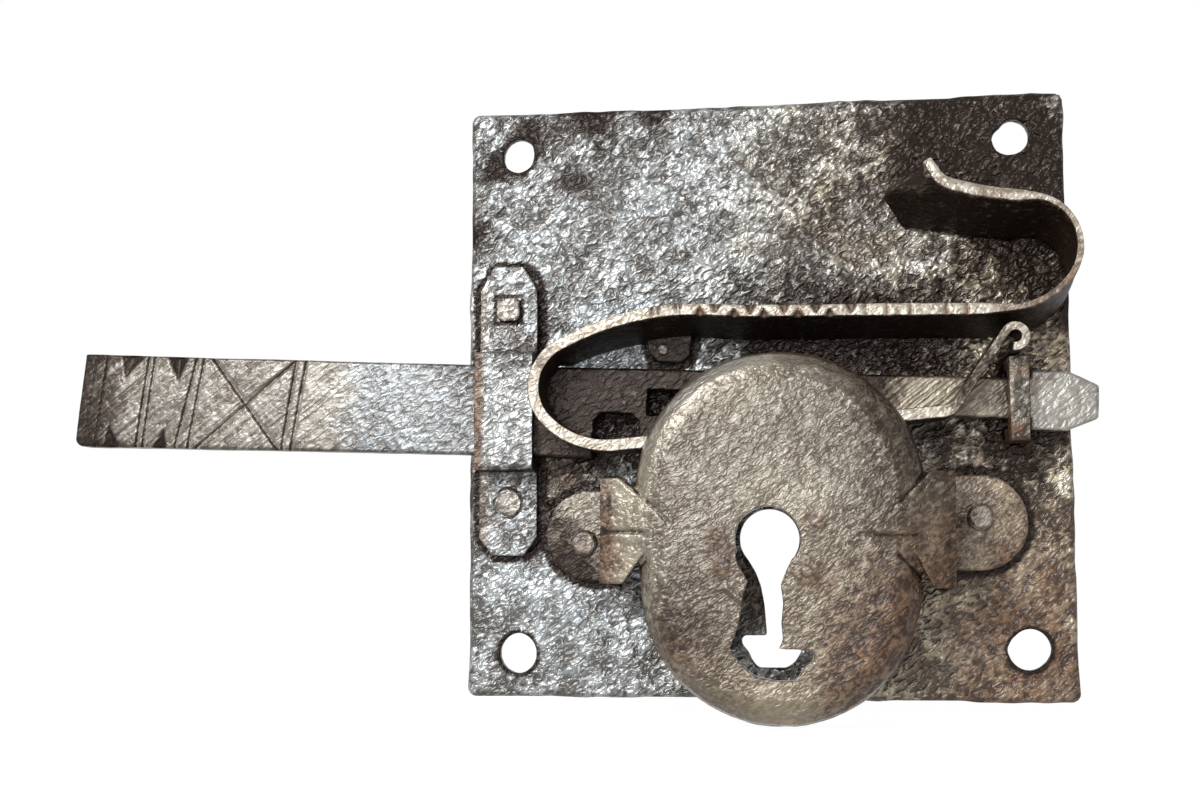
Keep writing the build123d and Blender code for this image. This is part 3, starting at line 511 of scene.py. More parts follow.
# %% Make the bolt
BOLT_FRONT = 9.3
bolt = copy_solid("bolt", "bolt_bar")
even_skin(bolt, 0.31)
hammer(bolt, [(16, 0.10), (5, 0.07), (2.0, 0.035)], 21, 0.8)
LINES = [
    ((-172.3, 12.9), (-175.9, -12.2), 1.0, 0.30), ((-169.3, 12.9), (-172.6, -12.3), 1.1, 0.45),
    ((-158.0, 12.3), (-161.4, -12.5), 1.2, 0.55), ((-156.4, 12.1), (-159.5, -12.5), 1.1, 0.50),
    ((-144.9, 11.9), (-150.8, -12.5), 1.2, 0.55), ((-143.0, 11.8), (-147.3, -12.6), 1.2, 0.50),
    ((-141.1, 11.7), (-122.6, -13.1), 1.4, 0.70), ((-117.8, 10.8), (-145.6, -12.5), 1.3, 0.60),
    ((-118.3, 10.8), (-122.1, -13.3), 1.2, 0.55), ((-115.7, 10.3), (-119.7, -13.3), 1.2, 0.50),
]
NOTCHES = [
    ((-166.2, 12.6), (-158.9, 12.4), (-165.0, 5.3)), ((-153.8, 12.3), (-146.6, 12.1), (-150.2, 4.1)),
    ((-170.6, -12.4), (-165.0, -12.5), (-169.0, -5.1)), ((-157.6, -12.7), (-152.5, -12.8), (-153.6, -5.8)),
]
cuts = [lambda p, line=line: chisel(p, *line) for line in LINES]
filed = [lambda p, place=place: notch(p, *place, 1.3) for place in NOTCHES]
depth = carve(bolt, cuts, BOLT_FRONT)
filed_depth = carve(bolt, filed, BOLT_FRONT)

# %% [markdown]
# ## Light and dark walls
# A chiselled groove has a dark wall and a bright wall, since the lamp stands at the upper left. The true groove
# is only two or three faces wide, so its walls are also painted: painted shade on the one and a painted highlight on
# the other.


# %% Find the two walls of every groove
def wall(points, shift):
    """How near every point lies to the same side of a chiselled line, from 0 to 1."""
    moved = points + [shift, 0, 0.1 * np.sign(shift)]
    return np.max([chisel(moved, start, end, 0.9, 1.0) for start, end, _, _ in LINES], axis=0)


# %% Place the bolt's colours
BOLT_MIDDLE, BOLT_FALL = -5.9, 0.0402
points = points_of(bolt)
facing = facing_of(bolt)
# Painted shade on one wall of every chiselled line, and a painted highlight on the other.
painted_shade_wall = wall(points, 0.28)
painted_highlight_wall = wall(points, -0.42)
along_bolt = points[:, 0]
near_end = rise(-along_bolt, 158, 176)
pitted = rise(along_bolt + 3 * lumps(points, 5.0, 23), -112, -97) * rise(-along_bolt, 68, 74)
middle_line = BOLT_MIDDLE - BOLT_FALL * along_bolt
top_edge = rise(points[:, 2] - middle_line, 9.0, 11.2)
low_edge = rise(middle_line - points[:, 2], 9.6, 11.4)
# Painted shadow: the stretch of bolt inside the spring's loop, which the strip shades, is painted dark brown.
in_spring_shadow = rise(along_bolt, -58.5, -55.0) * rise(-along_bolt, -38.0, -20.0)
dark_spots = [(-72, 6, 9, 0.5), (-60, -2, 7, 0.5), (79, -3, 3, 0.4), (60, 0, 4, 0.5), (31, 0, 7, 0.3)]
rust_spots = [(-160, 11, 7, 0.3), (-176, 0, 8, 0.2), (66, 2, 6, 0.3), (52, -4, 12, 0.25), (-118, 10, 8, 0.3)]
silver_spots = [(72, -2, 9, 0.8), (40, 0, 12, 0.2), (-88, 0, 14, 0.5), (-110, 0, 9, 0.4)]
note(bolt, "soot_and_shade", 0.85 * near_end + 0.25 * top_edge + 0.30 * low_edge + 1.0 * painted_shade_wall * (depth > 0.01)
     + 1.2 * rise(filed_depth, 0.05, 0.35) + 1.25 * in_spring_shadow + 0.45 * (facing[:, 1] > -0.5)
     + 0.2 * rise(filed_depth, 0.5, 1.2) + patches(points, dark_spots, 24))
note(bolt, "low", 0.30 + pitted * (0.30 + 0.5 * lumps(points, 1.8, 31)))
note(bolt, "rust", 0.2 * rise(filed_depth, 0.15, 0.6) + 0.3 * in_spring_shadow + 0.05 * near_end + 0.2 * low_edge
     + patches(points, rust_spots, 26))
note(bolt, "wear_and_highlight", patches(points, silver_spots, 27) + 2.0 * painted_highlight_wall + 0.5 * rise(along_bolt, 62, 68))
note(bolt, "warm", 0.55 - 0.6 * pitted + 0.3 * in_spring_shadow + 0.4 * rise(along_bolt, 20, 30)
     - 0.55 * rise(along_bolt, 62, 66))
note(bolt, "filed", 1 - pitted - 0.7 * in_spring_shadow - 0.6 * rise(along_bolt, 55, 62))
hand_over(bolt, "bolt", "bolt_iron", bolt_iron, "bolt")

# %% [markdown]
# ## Strap, staple and rivets
# The strap and the staple were bent hot round the bolt, and their rivets were hammered flat. Their measured
# solids are right in shape, so they only need an even skin, dents and colours.

# %% Make the strap
strap = copy_solid("guide_strap", "strap_sheet")
even_skin(strap, 0.36)
hammer(strap, [(8, 0.14), (3.5, 0.08), (1.5, 0.05)], 41)
points = points_of(strap)
height = -points[:, 1]
raised = rise(height, 8.5, 11.0)
left_edge = rise(-points[:, 0], 67.8, 70.6)
legs = rise(height, 5.6, 7.0) * rise(-height, -11.6, -10.8)
sides = facing_of(strap)[:, 1] > -0.45
square = np.maximum(np.abs(points[:, 0] + 63.9), np.abs(points[:, 2] - 22.7))
ring = 1.2 * rise(square, 2.8, 3.1) * rise(-square, -4.1, -3.8)
round_gap = np.hypot(points[:, 0] + 63.9, points[:, 2] + 26.4)
ring += 0.8 * rise(round_gap, 3.3, 3.5) * rise(-round_gap, -4.1, -3.8)
note(strap, "soot_and_shade", 0.6 * sides + 0.9 * legs + ring
     + patches(points, [(-58, 12, 5, 0.4), (-64, 9.5, 6, 0.5), (-63, -19.5, 6, 0.6)], 45))
note(strap, "rust", 0.5 * left_edge * raised + 0.3 * left_edge
     + patches(points, [(-66, -30, 5, 0.25), (-62, 14, 4, 0.3)], 43))
note(strap, "wear_and_highlight", 0.55 * (1 - left_edge) * raised)
note(strap, "warm", 0.12 + 0.4 * left_edge)
hand_over(strap, "lock_body", "strap_iron", strap_iron, "guide_strap")

# %% Make the staple
staple = copy_solid("tail_staple", "staple_bar")
even_skin(staple, 0.3)
hammer(staple, [(6, 0.16), (2.5, 0.10), (1.2, 0.05)], 51)
points = points_of(staple)
facing = facing_of(staple)
note(staple, "rust", 0.3 * (facing[:, 0] < -0.4) + 0.15 + patches(points, [(59, -12, 4, 0.9), (62, 4, 3, 0.4)], 52))
# Painted shade: the faces turned to the right and downwards, away from the lamp, are painted darker.
note(staple, "soot_and_shade", 0.7 * (facing[:, 0] > 0.4) + 0.2 * (facing[:, 2] < -0.5))
note(staple, "wear_and_highlight", 0.9 * rise(-points[:, 0], -59.4, -58.6) * rise(-points[:, 1], 11, 13))
note(staple, "warm", np.full(len(points), 0.75))
hand_over(staple, "lock_body", "staple_iron", staple_iron, "tail_staple")

# %% Make the rivets
RIVETS = {
    "guide_rivet_upper": (-63.9, 22.7, 0.2), "guide_rivet_lower": (-63.9, -26.4, 0.1),
    "cap_rivet_left": (-44.4, -36.4, 0.5), "cap_rivet_right": (51.8, -30.2, 0.45), "spring_rivet": (-24.6, 11.8, 0.5),
}
for turn, (node, (x, z, brown)) in enumerate(RIVETS.items()):
    rivet = copy_solid(node, node + "_head")
    even_skin(rivet, 0.24, 4)
    hammer(rivet, [(3.0, 0.16), (1.3, 0.08)], 61 + 3 * turn)
    points = points_of(rivet)
    radius = np.hypot(points[:, 0] - x, points[:, 2] - z)
    rim = 0.0
    if node == "guide_rivet_upper":
        rim = rise(np.maximum(np.abs(points[:, 0] - x), np.abs(points[:, 2] - z)), 2.7, 3.1)
    note(rivet, "soot_and_shade", 0.7 * (facing_of(rivet)[:, 1] > -0.5) + rim)
    note(rivet, "rust", np.full(len(points), brown))
    note(rivet, "wear_and_highlight", 0.5 * (facing_of(rivet)[:, 1] < -0.8) * rise(-radius, -3.0, -2.0))
    hand_over(rivet, "lock_body", "rivet_iron", rivet_iron, node)

# %% Make the wards
for turn, side in enumerate(("left", "right")):
    ward = copy_solid("ward_" + side, "ward_wall_" + side)
    even_skin(ward, 0.3, 4)
    hammer(ward, [(4.0, 0.12), (1.5, 0.06)], 81 + turn)
    note(ward, "rust", 0.4 + 0.3 * lumps(points_of(ward), 3.0, 83))
    hand_over(ward, "lock_body", "ward_iron", ward_iron, "ward_" + side)

# %% [markdown]
# ## The key cap
# The cap was beaten from one sheet into a shallow dish, with a triangular flap on each side that runs out to
# an ear on the plate. Its keyhole is chewed out by many keys. As with the plate, the measured hole is plugged
# and the true ragged outline is cut. The seams beside the flaps, the score lines and the gouges are chiselled.

# %% Make the cap
cap_keyhole = circle(*KEY, 7.3, -28, 200, 30) + [
    (-5.9, -39.2), (-5.4, -41.4), (-4.4, -43.0), (-3.2, -45.2), (-4.1, -47.6), (-4.5, -50.2), (-5.3, -54.7),
    (-6.3, -57.7), (-7.4, -60.6), (-6.0, -62.4), (-3.7, -64.8), (-1.7, -66.5), (0.8, -67.1), (3.7, -67.5),
    (7.0, -67.3), (7.9, -66.4), (8.9, -64.9), (11.0, -63.0), (11.5, -61.2), (9.6, -60.6), (3.3, -60.4), (4.3, -58.4),
    (3.9, -54.7), (4.4, -50.2), (3.9, -45.8), (5.3, -42.3), (6.5, -40.0),
]
cap = copy_solid("lock_cap", "cap_sheet")
combine(cap, prism("plug", [(-10, -70), (13, -70), (13, -26), (-10, -26)], 27.5, 30.0), "UNION")
combine(cap, prism("keyhole", cap_keyhole, 20, 35), "DIFFERENCE")
even_skin(cap, 0.40, 3)
hammer(cap, [(14, 0.20), (6, 0.12), (2.6, 0.09), (1.3, 0.06)], 101)
SEAMS = [
    ((-34.0, -20.2), (-23.8, -29.0), 1.1, 0.7), ((-23.8, -29.0), (-21.3, -32.0), 0.9, 0.35),
    ((-21.3, -36.9), (-26.9, -40.6), 0.9, 0.35), ((-26.9, -40.6), (-33.0, -46.6), 1.1, 0.7),
    ((38.5, -19.2), (31.4, -27.1), 1.1, 0.7), ((31.4, -27.1), (27.7, -30.7), 0.9, 0.35),
    ((38.0, -46.2), (30.7, -39.1), 1.1, 0.7), ((-22.0, -33.6), (-10.7, -33.6), 0.8, 0.22),
    ((22.1, -34.4), (40.9, -34.9), 1.0, 0.50), ((34.2, -35.1), (40.2, -36.4), 0.7, 0.35),
    ((-36.4, -33.8), (-27.7, -33.8), 1.5, 0.75), ((-36.4, -36.4), (-32.9, -36.4), 1.0, 0.45),
    ((-27.6, -28.2), (-24.6, -20.8), 0.9, 0.32), ((-26.0, -27.0), (-22.6, -19.5), 0.9, 0.32),
    ((35.5, -25.2), (39.5, -21.2), 0.9, 0.35), ((34.0, -42.2), (36.5, -44.9), 0.7, 0.3),
]
cuts = [lambda p, line=line: chisel(p, *line) for line in SEAMS]
depth = carve(cap, cuts, 27.0, 5.0)

# %% Raise the lumps over the wards' pins and a torn burr
points = points_of(cap)
PINS = ((-10.2, -34.8), (-8.8, -41.2), (12.1, -31.5), (10.2, -42.8))
INSIDE, FOREMOST = 28.5, 30.45
for x, z in PINS:
    lump = np.exp(-(np.hypot(points[:, 0] - x, points[:, 2] - z) / 3.5) ** 2)
    points[:, 1] -= lump * (0.45 + 0.3 * lumps(points, 1.5, 108)) * (points[:, 1] < -INSIDE)
points[:, 1] -= (points[:, 1] < -INSIDE) * chisel(points, (-8.2, -46.6), (-4.6, -49.6), 2.0, 0.6)
points[:, 1] = np.maximum(points[:, 1], -FOREMOST)
put_points(cap, points)

# %% Place the cap's colours
height = -points[:, 1]
x, z = points[:, 0], points[:, 2]
skirt = rise(-height, -27.5, -23.0)
to_low_right = rise(x * 0.55 - z * 0.8, 26, 58)
to_top_left = rise(z * 0.8 - x * 0.6, -4, 18)
shoulder = rise(height, 23.0, 28.0) * rise(-height, -30.0, -28.3)
ears = rise(-height, -8.0, -6.0)
left_roll = rise(-x, 34.2, 35.6) * rise(height, 4.0, 8.0) * (z < -20) * (z > -47)
right_roll = rise(x, 40.4, 42.0) * rise(-x, -44.8, -43.6) * rise(height, 3.6, 6.0) * (z < -18) * (z > -48)
rough_pins = patches(points, [(*pin, 3.8, 0.5) for pin in PINS], 107, 0.3) * (height > 27)
rust_spots = [
    (-34.0, -41, 3.0, 0.6), (-21, -60, 11, 0.40), (26, -64, 12, 0.2), (34, -55, 10, 0.2), (28, -6, 12, 0.15),
    (-48, -42, 6, 0.3), (38, -46, 5, 0.6), (-36, -35, 2.5, 0.5), (57, -40, 4, 0.35),
]
silver_spots = [
    (-31.9, -26, 2.4, 0.7), (-31.5, -22.5, 2.0, 0.6), (-30.8, -40, 2.4, 0.6), (-31.5, -44, 2.2, 0.5),
    (-29.1, -21.8, 2.8, 0.9), (60, -27, 3.8, 1.3), (57, -33, 3.8, 1.2), (52.5, -39.5, 3.8, 1.2), (58, -22, 3, 0.7),
    (34, -24.5, 1.6, 0.9), (-48, -28, 5, 0.5), (10, -27, 8, 0.3), (0, -30, 14, 0.2), (4, -74, 9, 0.7),
    (-6, 4, 9, 0.4),
]
dark_spots = [
    (-19, -55, 11, 0.7), (30, -50, 11, 0.2), (26, -26, 9, 0.25), (33, -14, 11, 0.6), (24, -4, 8, 0.3),
    (-50, -40, 7, 0.8), (-44, -44, 5, 0.6), (-52, -30, 4, 0.4), (-36.5, -28, 3, 0.4),
]
gouges = [(-37.4, -34, 1.6, 0.6), (-39.5, -36, 2.5, 0.5), (0, -60, 9, 0.2), (46.5, -32, 1.6, 0.6)]
note(cap, "rust", 0.04 + 0.8 * skirt * (1 - to_top_left) * (1 - ears) + 0.38 * to_low_right * rise(x, 6, 16)
     + 0.28 * left_roll + rough_pins + patches(points, rust_spots, 104))
# Painted highlights: the bright band along the upper left shoulder, the fainter band on the lower left shoulder, and
# the first four silver spots, down the crest of the left flap.
note(cap, "wear_and_highlight", 1.9 * shoulder * to_top_left + 0.5 * shoulder * rise(-x, 8, 18) * rise(z, -70, -55)
     + patches(points, silver_spots, 105, 0.3))
note(cap, "soot_and_shade", 0.9 * rise(depth, 0.20, 0.6) + patches(points, dark_spots, 109)
     + 0.7 * (facing_of(cap)[:, 1] > 0.2) + 0.3 * left_roll + 0.25 * right_roll
     + 0.34 * to_low_right * rise(x, 8, 16) + patches(points, gouges, 106))
# The painted highlight on the upper left shoulder is also made less brown.
note(cap, "warm", 0.80 + 0.30 * to_low_right + 0.25 * skirt * (1 - to_top_left)
     - 0.5 * to_top_left * shoulder - 0.2 * ears)
hand_over(cap, "lock_body", "cap_iron", cap_iron, "lock_cap")

# %% [markdown]
# ## The leaf spring
# The spring is one strip on edge. It starts in a flared, curled end, turns round at the right, runs back over
# the bolt with its front edge notched for show, turns at the left, and comes back under the cap to a riser and
# a small curl. It leans differently along its way, so a plain extrusion of a line can't give it. Instead the
# strip is woven from sections: each has a front point, a back point and a thickness, and the sections are
# joined into one closed skin. That also leaves an orderly grid, in which the notches are easy to file.


# %% Follow the strip's middle line
def follow(start, heading, runs, step):
    """Points and headings along runs of a length and a turn in degrees, at even steps."""
    x, z = start
    angle = math.radians(heading)
    rows = []
    for length, turn in runs:
        count = max(2, round(length / step))
        for _ in range(count):
            rows.append((x, z, angle))
            angle += math.radians(turn) / count / 2
            x += length / count * math.cos(angle)
            z += length / count * math.sin(angle)
            angle += math.radians(turn) / count / 2
    rows.append((x, z, angle))
    return np.array(rows)


NOSE = (-54.7, 1.1)
BEND = math.radians(1) * 11.5
upper = follow(NOSE, 90.0, [
    (61.4 * BEND, -61.4), (38.6, -32.8), (14.0, 3.6), (54.4, 0.0), (16.8, 52.2), (15.0, 69.0), (10.4, 54.2),
    (10.0, -5.0), (9.0, -7.0), (5.0, -42.0), (3.4, 0.0)], 0.4)
lower = follow(NOSE, -90.0, [
    (45.1 * BEND, 45.1), (18.1, 49.9), (77.6, 0.6), (3.6, 50.2), (20.4, 0.0), (math.radians(250) * 2.4, -250.0)], 0.4)
upper = upper[::-1]
upper[:, 2] += math.pi
strip = np.vstack([upper[:-1], lower])
along = np.concatenate([[0], np.cumsum(np.hypot(*np.diff(strip[:, :2], axis=0).T))])
print("the strip is", round(along[-1]), "mm long")


# %% Give every section its thickness, depth and lean
def marks(*pairs):
    """Values at distances along the strip, joined softly."""
    places, values = zip(*pairs)
    return np.interp(along, places, values)


FRONT = 21.5
LIP, BEND_IN, BEND_OUT = 8.4, 27.4, 69.6
NOSE_IN = BEND_OUT + 107.0
NOSE_AT = along[len(upper) - 1]
LEG = NOSE_AT + 45.1 * BEND + 18.1
RISER = LEG + 77.6 + 3.6
thick = marks((0, 2.4), (LIP, 3.2), (BEND_IN - 4, 3.3), (BEND_IN + 2, 1.6), (BEND_OUT - 2, 1.5), (BEND_OUT + 6, 3.1),
              (NOSE_AT, 3.0), (RISER - 3, 3.1), (RISER + 1, 2.3), (along[-1], 2.1))
lean = marks((0, 21), (LIP, 20), (BEND_IN, 17), (BEND_OUT, 11), (BEND_OUT + 12, 10), (NOSE_IN - 20, 10),
             (NOSE_AT - 6, 4), (NOSE_AT, 0), (along[-1], 0))
over_bolt = np.where(along < NOSE_IN - 40, 0.0, 1 - rise(strip[:, 1], 9.2, 11.6))
over_bolt[along > NOSE_AT] = 1.0
back = 3.4 + 6.5 * over_bolt
print("sections:", len(strip), "leg starts at", round(LEG), "riser at", round(RISER))


# %% Lay out the strip's middle sheet and flare its free end
DEEP, FACE = 30, 11
share = np.linspace(0, 1, DEEP) ** 1.3
sheet = np.empty((len(strip), DEEP, 3))
sheet[:, :, 0] = strip[:, :1]
sheet[:, :, 1] = -(FRONT + (back - FRONT)[:, None] * share)
sheet[:, :, 2] = strip[:, 1:2] - ((FRONT - back) * np.tan(np.radians(lean)))[:, None] * share
tip = np.searchsorted(along, LIP)
out = (1 - along[:tip + 1] / along[tip])[:, None]
root = sheet[tip]
end_x = np.interp(-root[:, 1], [3.4, 13.5, FRONT], [35.0, 30.0, 34.0])
end_z = np.interp(-root[:, 1], [3.4, 13.5, FRONT], [42.5, 47.7, 51.0])
flare = rise(share, 0.0, 0.42)
for axis, end in ((0, end_x), (2, end_z)):
    straight = root[:, axis] + out * (end - root[:, axis])
    sheet[:tip + 1, :, axis] += flare * (straight - sheet[:tip + 1, :, axis])
print("the free end's front corner:", sheet[0, 0].round(1))

# %% Thicken the sheet into a closed skin
ahead = np.gradient(sheet, axis=0)
inward = np.gradient(sheet, axis=1)
side = np.cross(ahead, inward)
side *= (thick / 2)[:, None, None] / np.linalg.norm(side, axis=2, keepdims=True)
rounded = np.array([0.82, 0.94] + [1.0] * (DEEP - 2))[:, None]
across = np.linspace(-1, 1, FACE + 2)[1:-1, None]
front_edge = sheet[:, :1] + side[:, :1] * across * 0.9 - [0, 0.10, 0] * (1 - across * across)
back_edge = sheet[:, -1:] + side[:, -1:] * [[0.4], [-0.4]]
grid = np.concatenate([sheet + side * rounded, back_edge, (sheet - side * rounded)[:, ::-1], front_edge], axis=1)
around = grid.shape[1]
first = np.arange(around)
second = (first + 1) % around
rows = np.arange(len(grid) - 1)[:, None] * around
faces = np.stack([rows + first, rows + around + first, rows + around + second, rows + second], axis=2)
faces = faces.reshape(-1, 4).tolist()
for start in (0, (len(grid) - 1) * around):
    for k in range(DEEP - 1):
        faces.append([start + k, start + k + 1, start + 2 * DEEP - k, start + 2 * DEEP + 1 - k])
    faces.append([start + DEEP - 1, start + DEEP, start + DEEP + 1, start + DEEP + 2])
    faces.append([start + 2 * DEEP + 1 + k for k in range(FACE + 1)] + [start])

# %% Make the strip
mesh = bpy.data.meshes.new("spring_strip")
mesh.from_pydata((grid.reshape(-1, 3) * MM).tolist(), [], faces)
mesh.validate()
work = bmesh.new()
work.from_mesh(mesh)
bmesh.ops.recalc_face_normals(work, faces=work.faces)
work.to_mesh(mesh)
work.free()
mesh.shade_smooth()
spring = add_piece("spring_strip", mesh)
print("the strip has", len(faces), "faces")

# %% File the notches along the front edge
points = points_of(spring)
row_at = np.repeat(np.arange(len(grid)), around)
rise_over_middle = points[:, 2] - strip[row_at, 1]
cut = np.zeros(len(points))
from_above = np.maximum(1.9 * (rise_over_middle + 1.0) / 2.55, 1e-3)
from_below = np.maximum(1.45 * (0.5 - rise_over_middle) / 2.05, 1e-3)
narrow = np.maximum(0.75 * (rise_over_middle + 1.2) / 2.7, 1e-3)
# Each row of notches: their places along X, half of their width, their depth, and how flat their floors are.
NOTCH_ROWS = (
    ((-10.6, -2.3, 5.7, 13.2, 21.4), from_above, 1.3, 1.15), ((-14.3, -6.2, 0.9, 8.9, 16.4), from_below, 1.2, 1.25),
    ((-25.8, -24.3, -20.0, -19.0), narrow, 0.8, 1.15), ((24.8, 29.7, 35.2, 43.5, 48.2), 0.7, 0.6, 1),
)
for places, half, deep, flat in NOTCH_ROWS:
    for x in places:
        cut = np.maximum(cut, deep * np.clip(flat - np.abs(points[:, 0] - x) / half, 0, 1))
on_back = rise(along[row_at], BEND_OUT + 2, BEND_OUT + 4) * (row_at < len(upper) - 20)
cut *= on_back * rise(-points[:, 1], 19.0, 20.2)
points[:, 1] = np.maximum(points[:, 1], -(FRONT - cut))
put_points(spring, points)
hammer(spring, [(9, 0.10), (3.0, 0.07), (1.4, 0.04)], 121, 0.9)

# %% Place the strip's colours
points = points_of(spring)
ring_at = np.tile(np.arange(around), len(grid))
broad = ((ring_at > 0) & (ring_at < 2 * DEEP + 1)).astype(float)
edge_front = rise(-points[:, 1], 20.0, 21.2)
inside_bend = patches(points, [(68, 32, 12, 0.5), (60, 22, 8, 0.4)], 129)
dark_riser = rise(along[row_at], RISER - 4, RISER) * rise(-along[row_at], -RISER - 24, -RISER - 18)
# Painted shade: the strip's broad sides are painted near black as the shade along them, a little less next to the front
# edge.
note(spring, "soot_and_shade", 1.0 * broad * (1 - 0.3 * edge_front) + 0.5 * rise(cut, 0.4, 0.8) + 0.75 * dark_riser)
note(spring, "rust", 0.25 * broad + 0.75 * rise(cut, 0.15, 0.5) + inside_bend + 0.12 * lumps(points, 6.0, 127)
     + patches(points, [(-52, 8, 5, 0.4), (70, 25, 6, 0.3)], 128))
note(spring, "wear_and_highlight", 0.35 * (1 - broad) * (1 - rise(cut, 0.1, 0.5)) * (1 - dark_riser))
note(spring, "warm", np.full(len(points), 0.62))
hand_over(spring, "lock_body", "spring_steel", spring_steel, "lock_spring")

# %% Make the spring's foot and its tongue
FOOT = [(-28.6, 15.4), (-28.4, 11.0), (-26.0, 8.6), (-20.2, 8.3), (-17.8, 10.2), (-17.2, 15.9)]
foot = prism("spring_foot", FOOT, 3.0, 5.4)
even_skin(foot, 0.35)
hammer(foot, [(4.0, 0.12), (1.5, 0.06)], 131)
# Painted shade: the foot lies in the strip's shade and is painted near black all over.
note(foot, "soot_and_shade", np.full(len(foot.data.vertices), 1.0))
note(foot, "rust", np.full(len(foot.data.vertices), 0.4))
hand_over(foot, "lock_body", "spring_steel", spring_steel)
tongue = prism("spring_tongue", [(22.0, -6.8), (26.0, -6.8), (26.0, -4.4), (22.0, -4.4)], 3.7, 12.0)
combine(tongue, prism("tongue_root", [(22.0, -8.5), (26.0, -8.5), (26.0, -4.4), (22.0, -4.4)], 9.9, 12.1), "UNION")
even_skin(tongue, 0.35)
hammer(tongue, [(3.0, 0.08)], 135)
note(tongue, "soot_and_shade", np.full(len(tongue.data.vertices), 0.6))
hand_over(tongue, "lock_body", "spring_steel", spring_steel)

# %% [markdown]
# ## The plate's stains
# Grease and rust gather where something stands on the plate, so a dark line runs round every ear and foot. The
# stains could be painted by hand, but here they are printed: the points of each piece that come close to the
# plate are marked on a fine square grid, the marks are blurred, and the plate reads the blur at its own points.


# %% Print what rests on the plate
HALF_SIDE, STEP = 90, 0.25
CELLS = round(2 * HALF_SIDE / STEP)


def cells_at(points):
    """The cells of the grid in which points lie, as rows and columns."""
    cells = np.clip(((points[:, [0, 2]] + HALF_SIDE) / STEP).round().astype(int), 0, CELLS - 1)
    return cells[:, 0], cells[:, 1]


def stain(pieces, reach):
    """A blurred print of everything within about a millimetre of the plate's front, from 0 to 1."""
    print_grid = np.zeros((CELLS, CELLS))
    for piece in pieces:
        points = points_of(piece)
        print_grid[cells_at(points[(-points[:, 1] > 2.8) & (-points[:, 1] < 4.3)])] = 1
    wide = int(reach / STEP)
    for _ in range(3):
        for axis in (0, 1):
            summed = sum(np.roll(print_grid, shift, axis) for shift in range(-wide, wide + 1))
            print_grid = summed / (2 * wide + 1)
    return print_grid


standing = [bpy.data.objects[name] for name in ("strap_sheet", "cap_sheet", "staple_bar", "spring_foot")]
points = points_of(plate)
in_front = points[:, 1] < -1.5
close_line = rise(stain(standing, 1.25)[cells_at(points)], 0.01, 0.12) * in_front
wide_line = stain(standing, 2.0)[cells_at(points)] * in_front
print("points in a dark line:", int((close_line > 0.5).sum()))

# %% Place the plate's colours
# The dark spots are partly stains, round the top left nail hole and along the left edge, and partly painted shade: the
# band under the spring's back run and the darker upper right.
dark_spots = [
    (47, 66, 24, 1.0), (68, 55, 18, 0.9), (73, 22, 10, 0.9), (68, -3, 11, 0.6), (6, 12, 17, 1.1), (34, 12, 16, 1.1),
    (-68, 60, 4, 1.0), (-60, 70, 5, 0.9), (-47, 56, 5, 0.75), (-42, 75, 7, 1.0), (-28, 75, 7, 0.7), (-74, 42, 4, 0.9),
    (-69, 45, 5, 0.5), (61.9, 64.3, 8, 0.6), (-61.9, 63, 5, 0.3), (-46, -16, 9, 0.65), (-61.4, -63.6, 7, 0.55),
    (63, -62, 8, 0.4), (-74, 30, 3, 0.5), (58, -12, 9, 0.8), (62, 32, 12, 0.6), (50, 27, 7, 0.3), (14, 46, 12, 0.35),
    (2, 60, 9, 0.25), (-25, 66, 10, 0.3), (-70, 20, 5, 0.4), (-52, 18, 5, 0.3), (-74, 74, 6, 0.4), (40, -8, 10, 0.5),
    (1, -46, 15, 0.6), (-26, -4, 7, 0.7), (-33, -12, 6, 0.9), (-37, -6.5, 6, 1.4), (-25, -1, 6, 1.4),
    (-46, -10, 9, 0.5), (66, -14, 10, 0.3), (70, -28, 10, 0.3), (-53, 66, 12, 0.3), (-72, 60, 8, 0.4),
    (-14, 44, 9, 0.3), (-58, 33, 7, 0.3), (-40, -56, 7, 0.3),
]
rust_spots = [
    (66, -45, 22, 0.50), (50, -66, 22, 0.45), (72, -72, 14, 0.45), (70, 10, 14, 0.40), (-50, -18, 10, 0.35),
    (1, -46, 15, 0.5), (40, -14, 14, 0.30), (-12, -4, 12, 0.3), (-62, 60, 8, 0.25), (-60, -62, 7, 0.3),
    (60, 66, 14, 0.25), (60, 50, 12, 0.3),
]
# The silver spots are painted light: painted reflection in patches over the plate, mostly on the left, and a painted
# pool of light on the plate inside the spring's loop. Under them the plate is also made less brown.
silver_spots = [
    (-36, 11, 10, 2.6), (-30, 15, 7, 1.6), (-46, 6, 8, 0.6), (-68, 60, 12, 0.4), (-50, 20, 10, 0.1),
    (-20, 52, 26, 0.35), (-58, 40, 14, 0.3), (-62, -45, 16, 0.5), (-45, -58, 16, 0.5), (40, 42, 12, 0.3),
]
warm_spots = [
    (66, -45, 32, 0.9), (50, 60, 30, 0.9), (45, -70, 28, 0.9), (65, 10, 28, 0.9), (10, 50, 18, 0.25),
    (-50, -18, 9, 0.5),
]
note(plate, "soot_and_shade", patches(points, dark_spots, 4) + 1.3 * close_line + 0.3 * wide_line + 0.9 * burr)
note(plate, "rust", patches(points, rust_spots, 6) + 0.35 * wide_line)
note(plate, "wear_and_highlight", patches(points, silver_spots, 7))
note(plate, "warm", 0.22 + patches(points, warm_spots, 8) - 0.3 * patches(points, silver_spots, 7))
hand_over(plate, "lock_body", "plate_iron", plate_iron, "back_plate")

# %% [markdown]
# ## Floor, light and camera
# Metal shows what stands round it. A pale room and two soft lamps, a strong one at the upper left and a broad
# one near the camera, give the bright upper shoulders and the silver sheen in the plate's middle. The floor and
# the room look white to the camera and in reflections, while their light on the object stays plain.


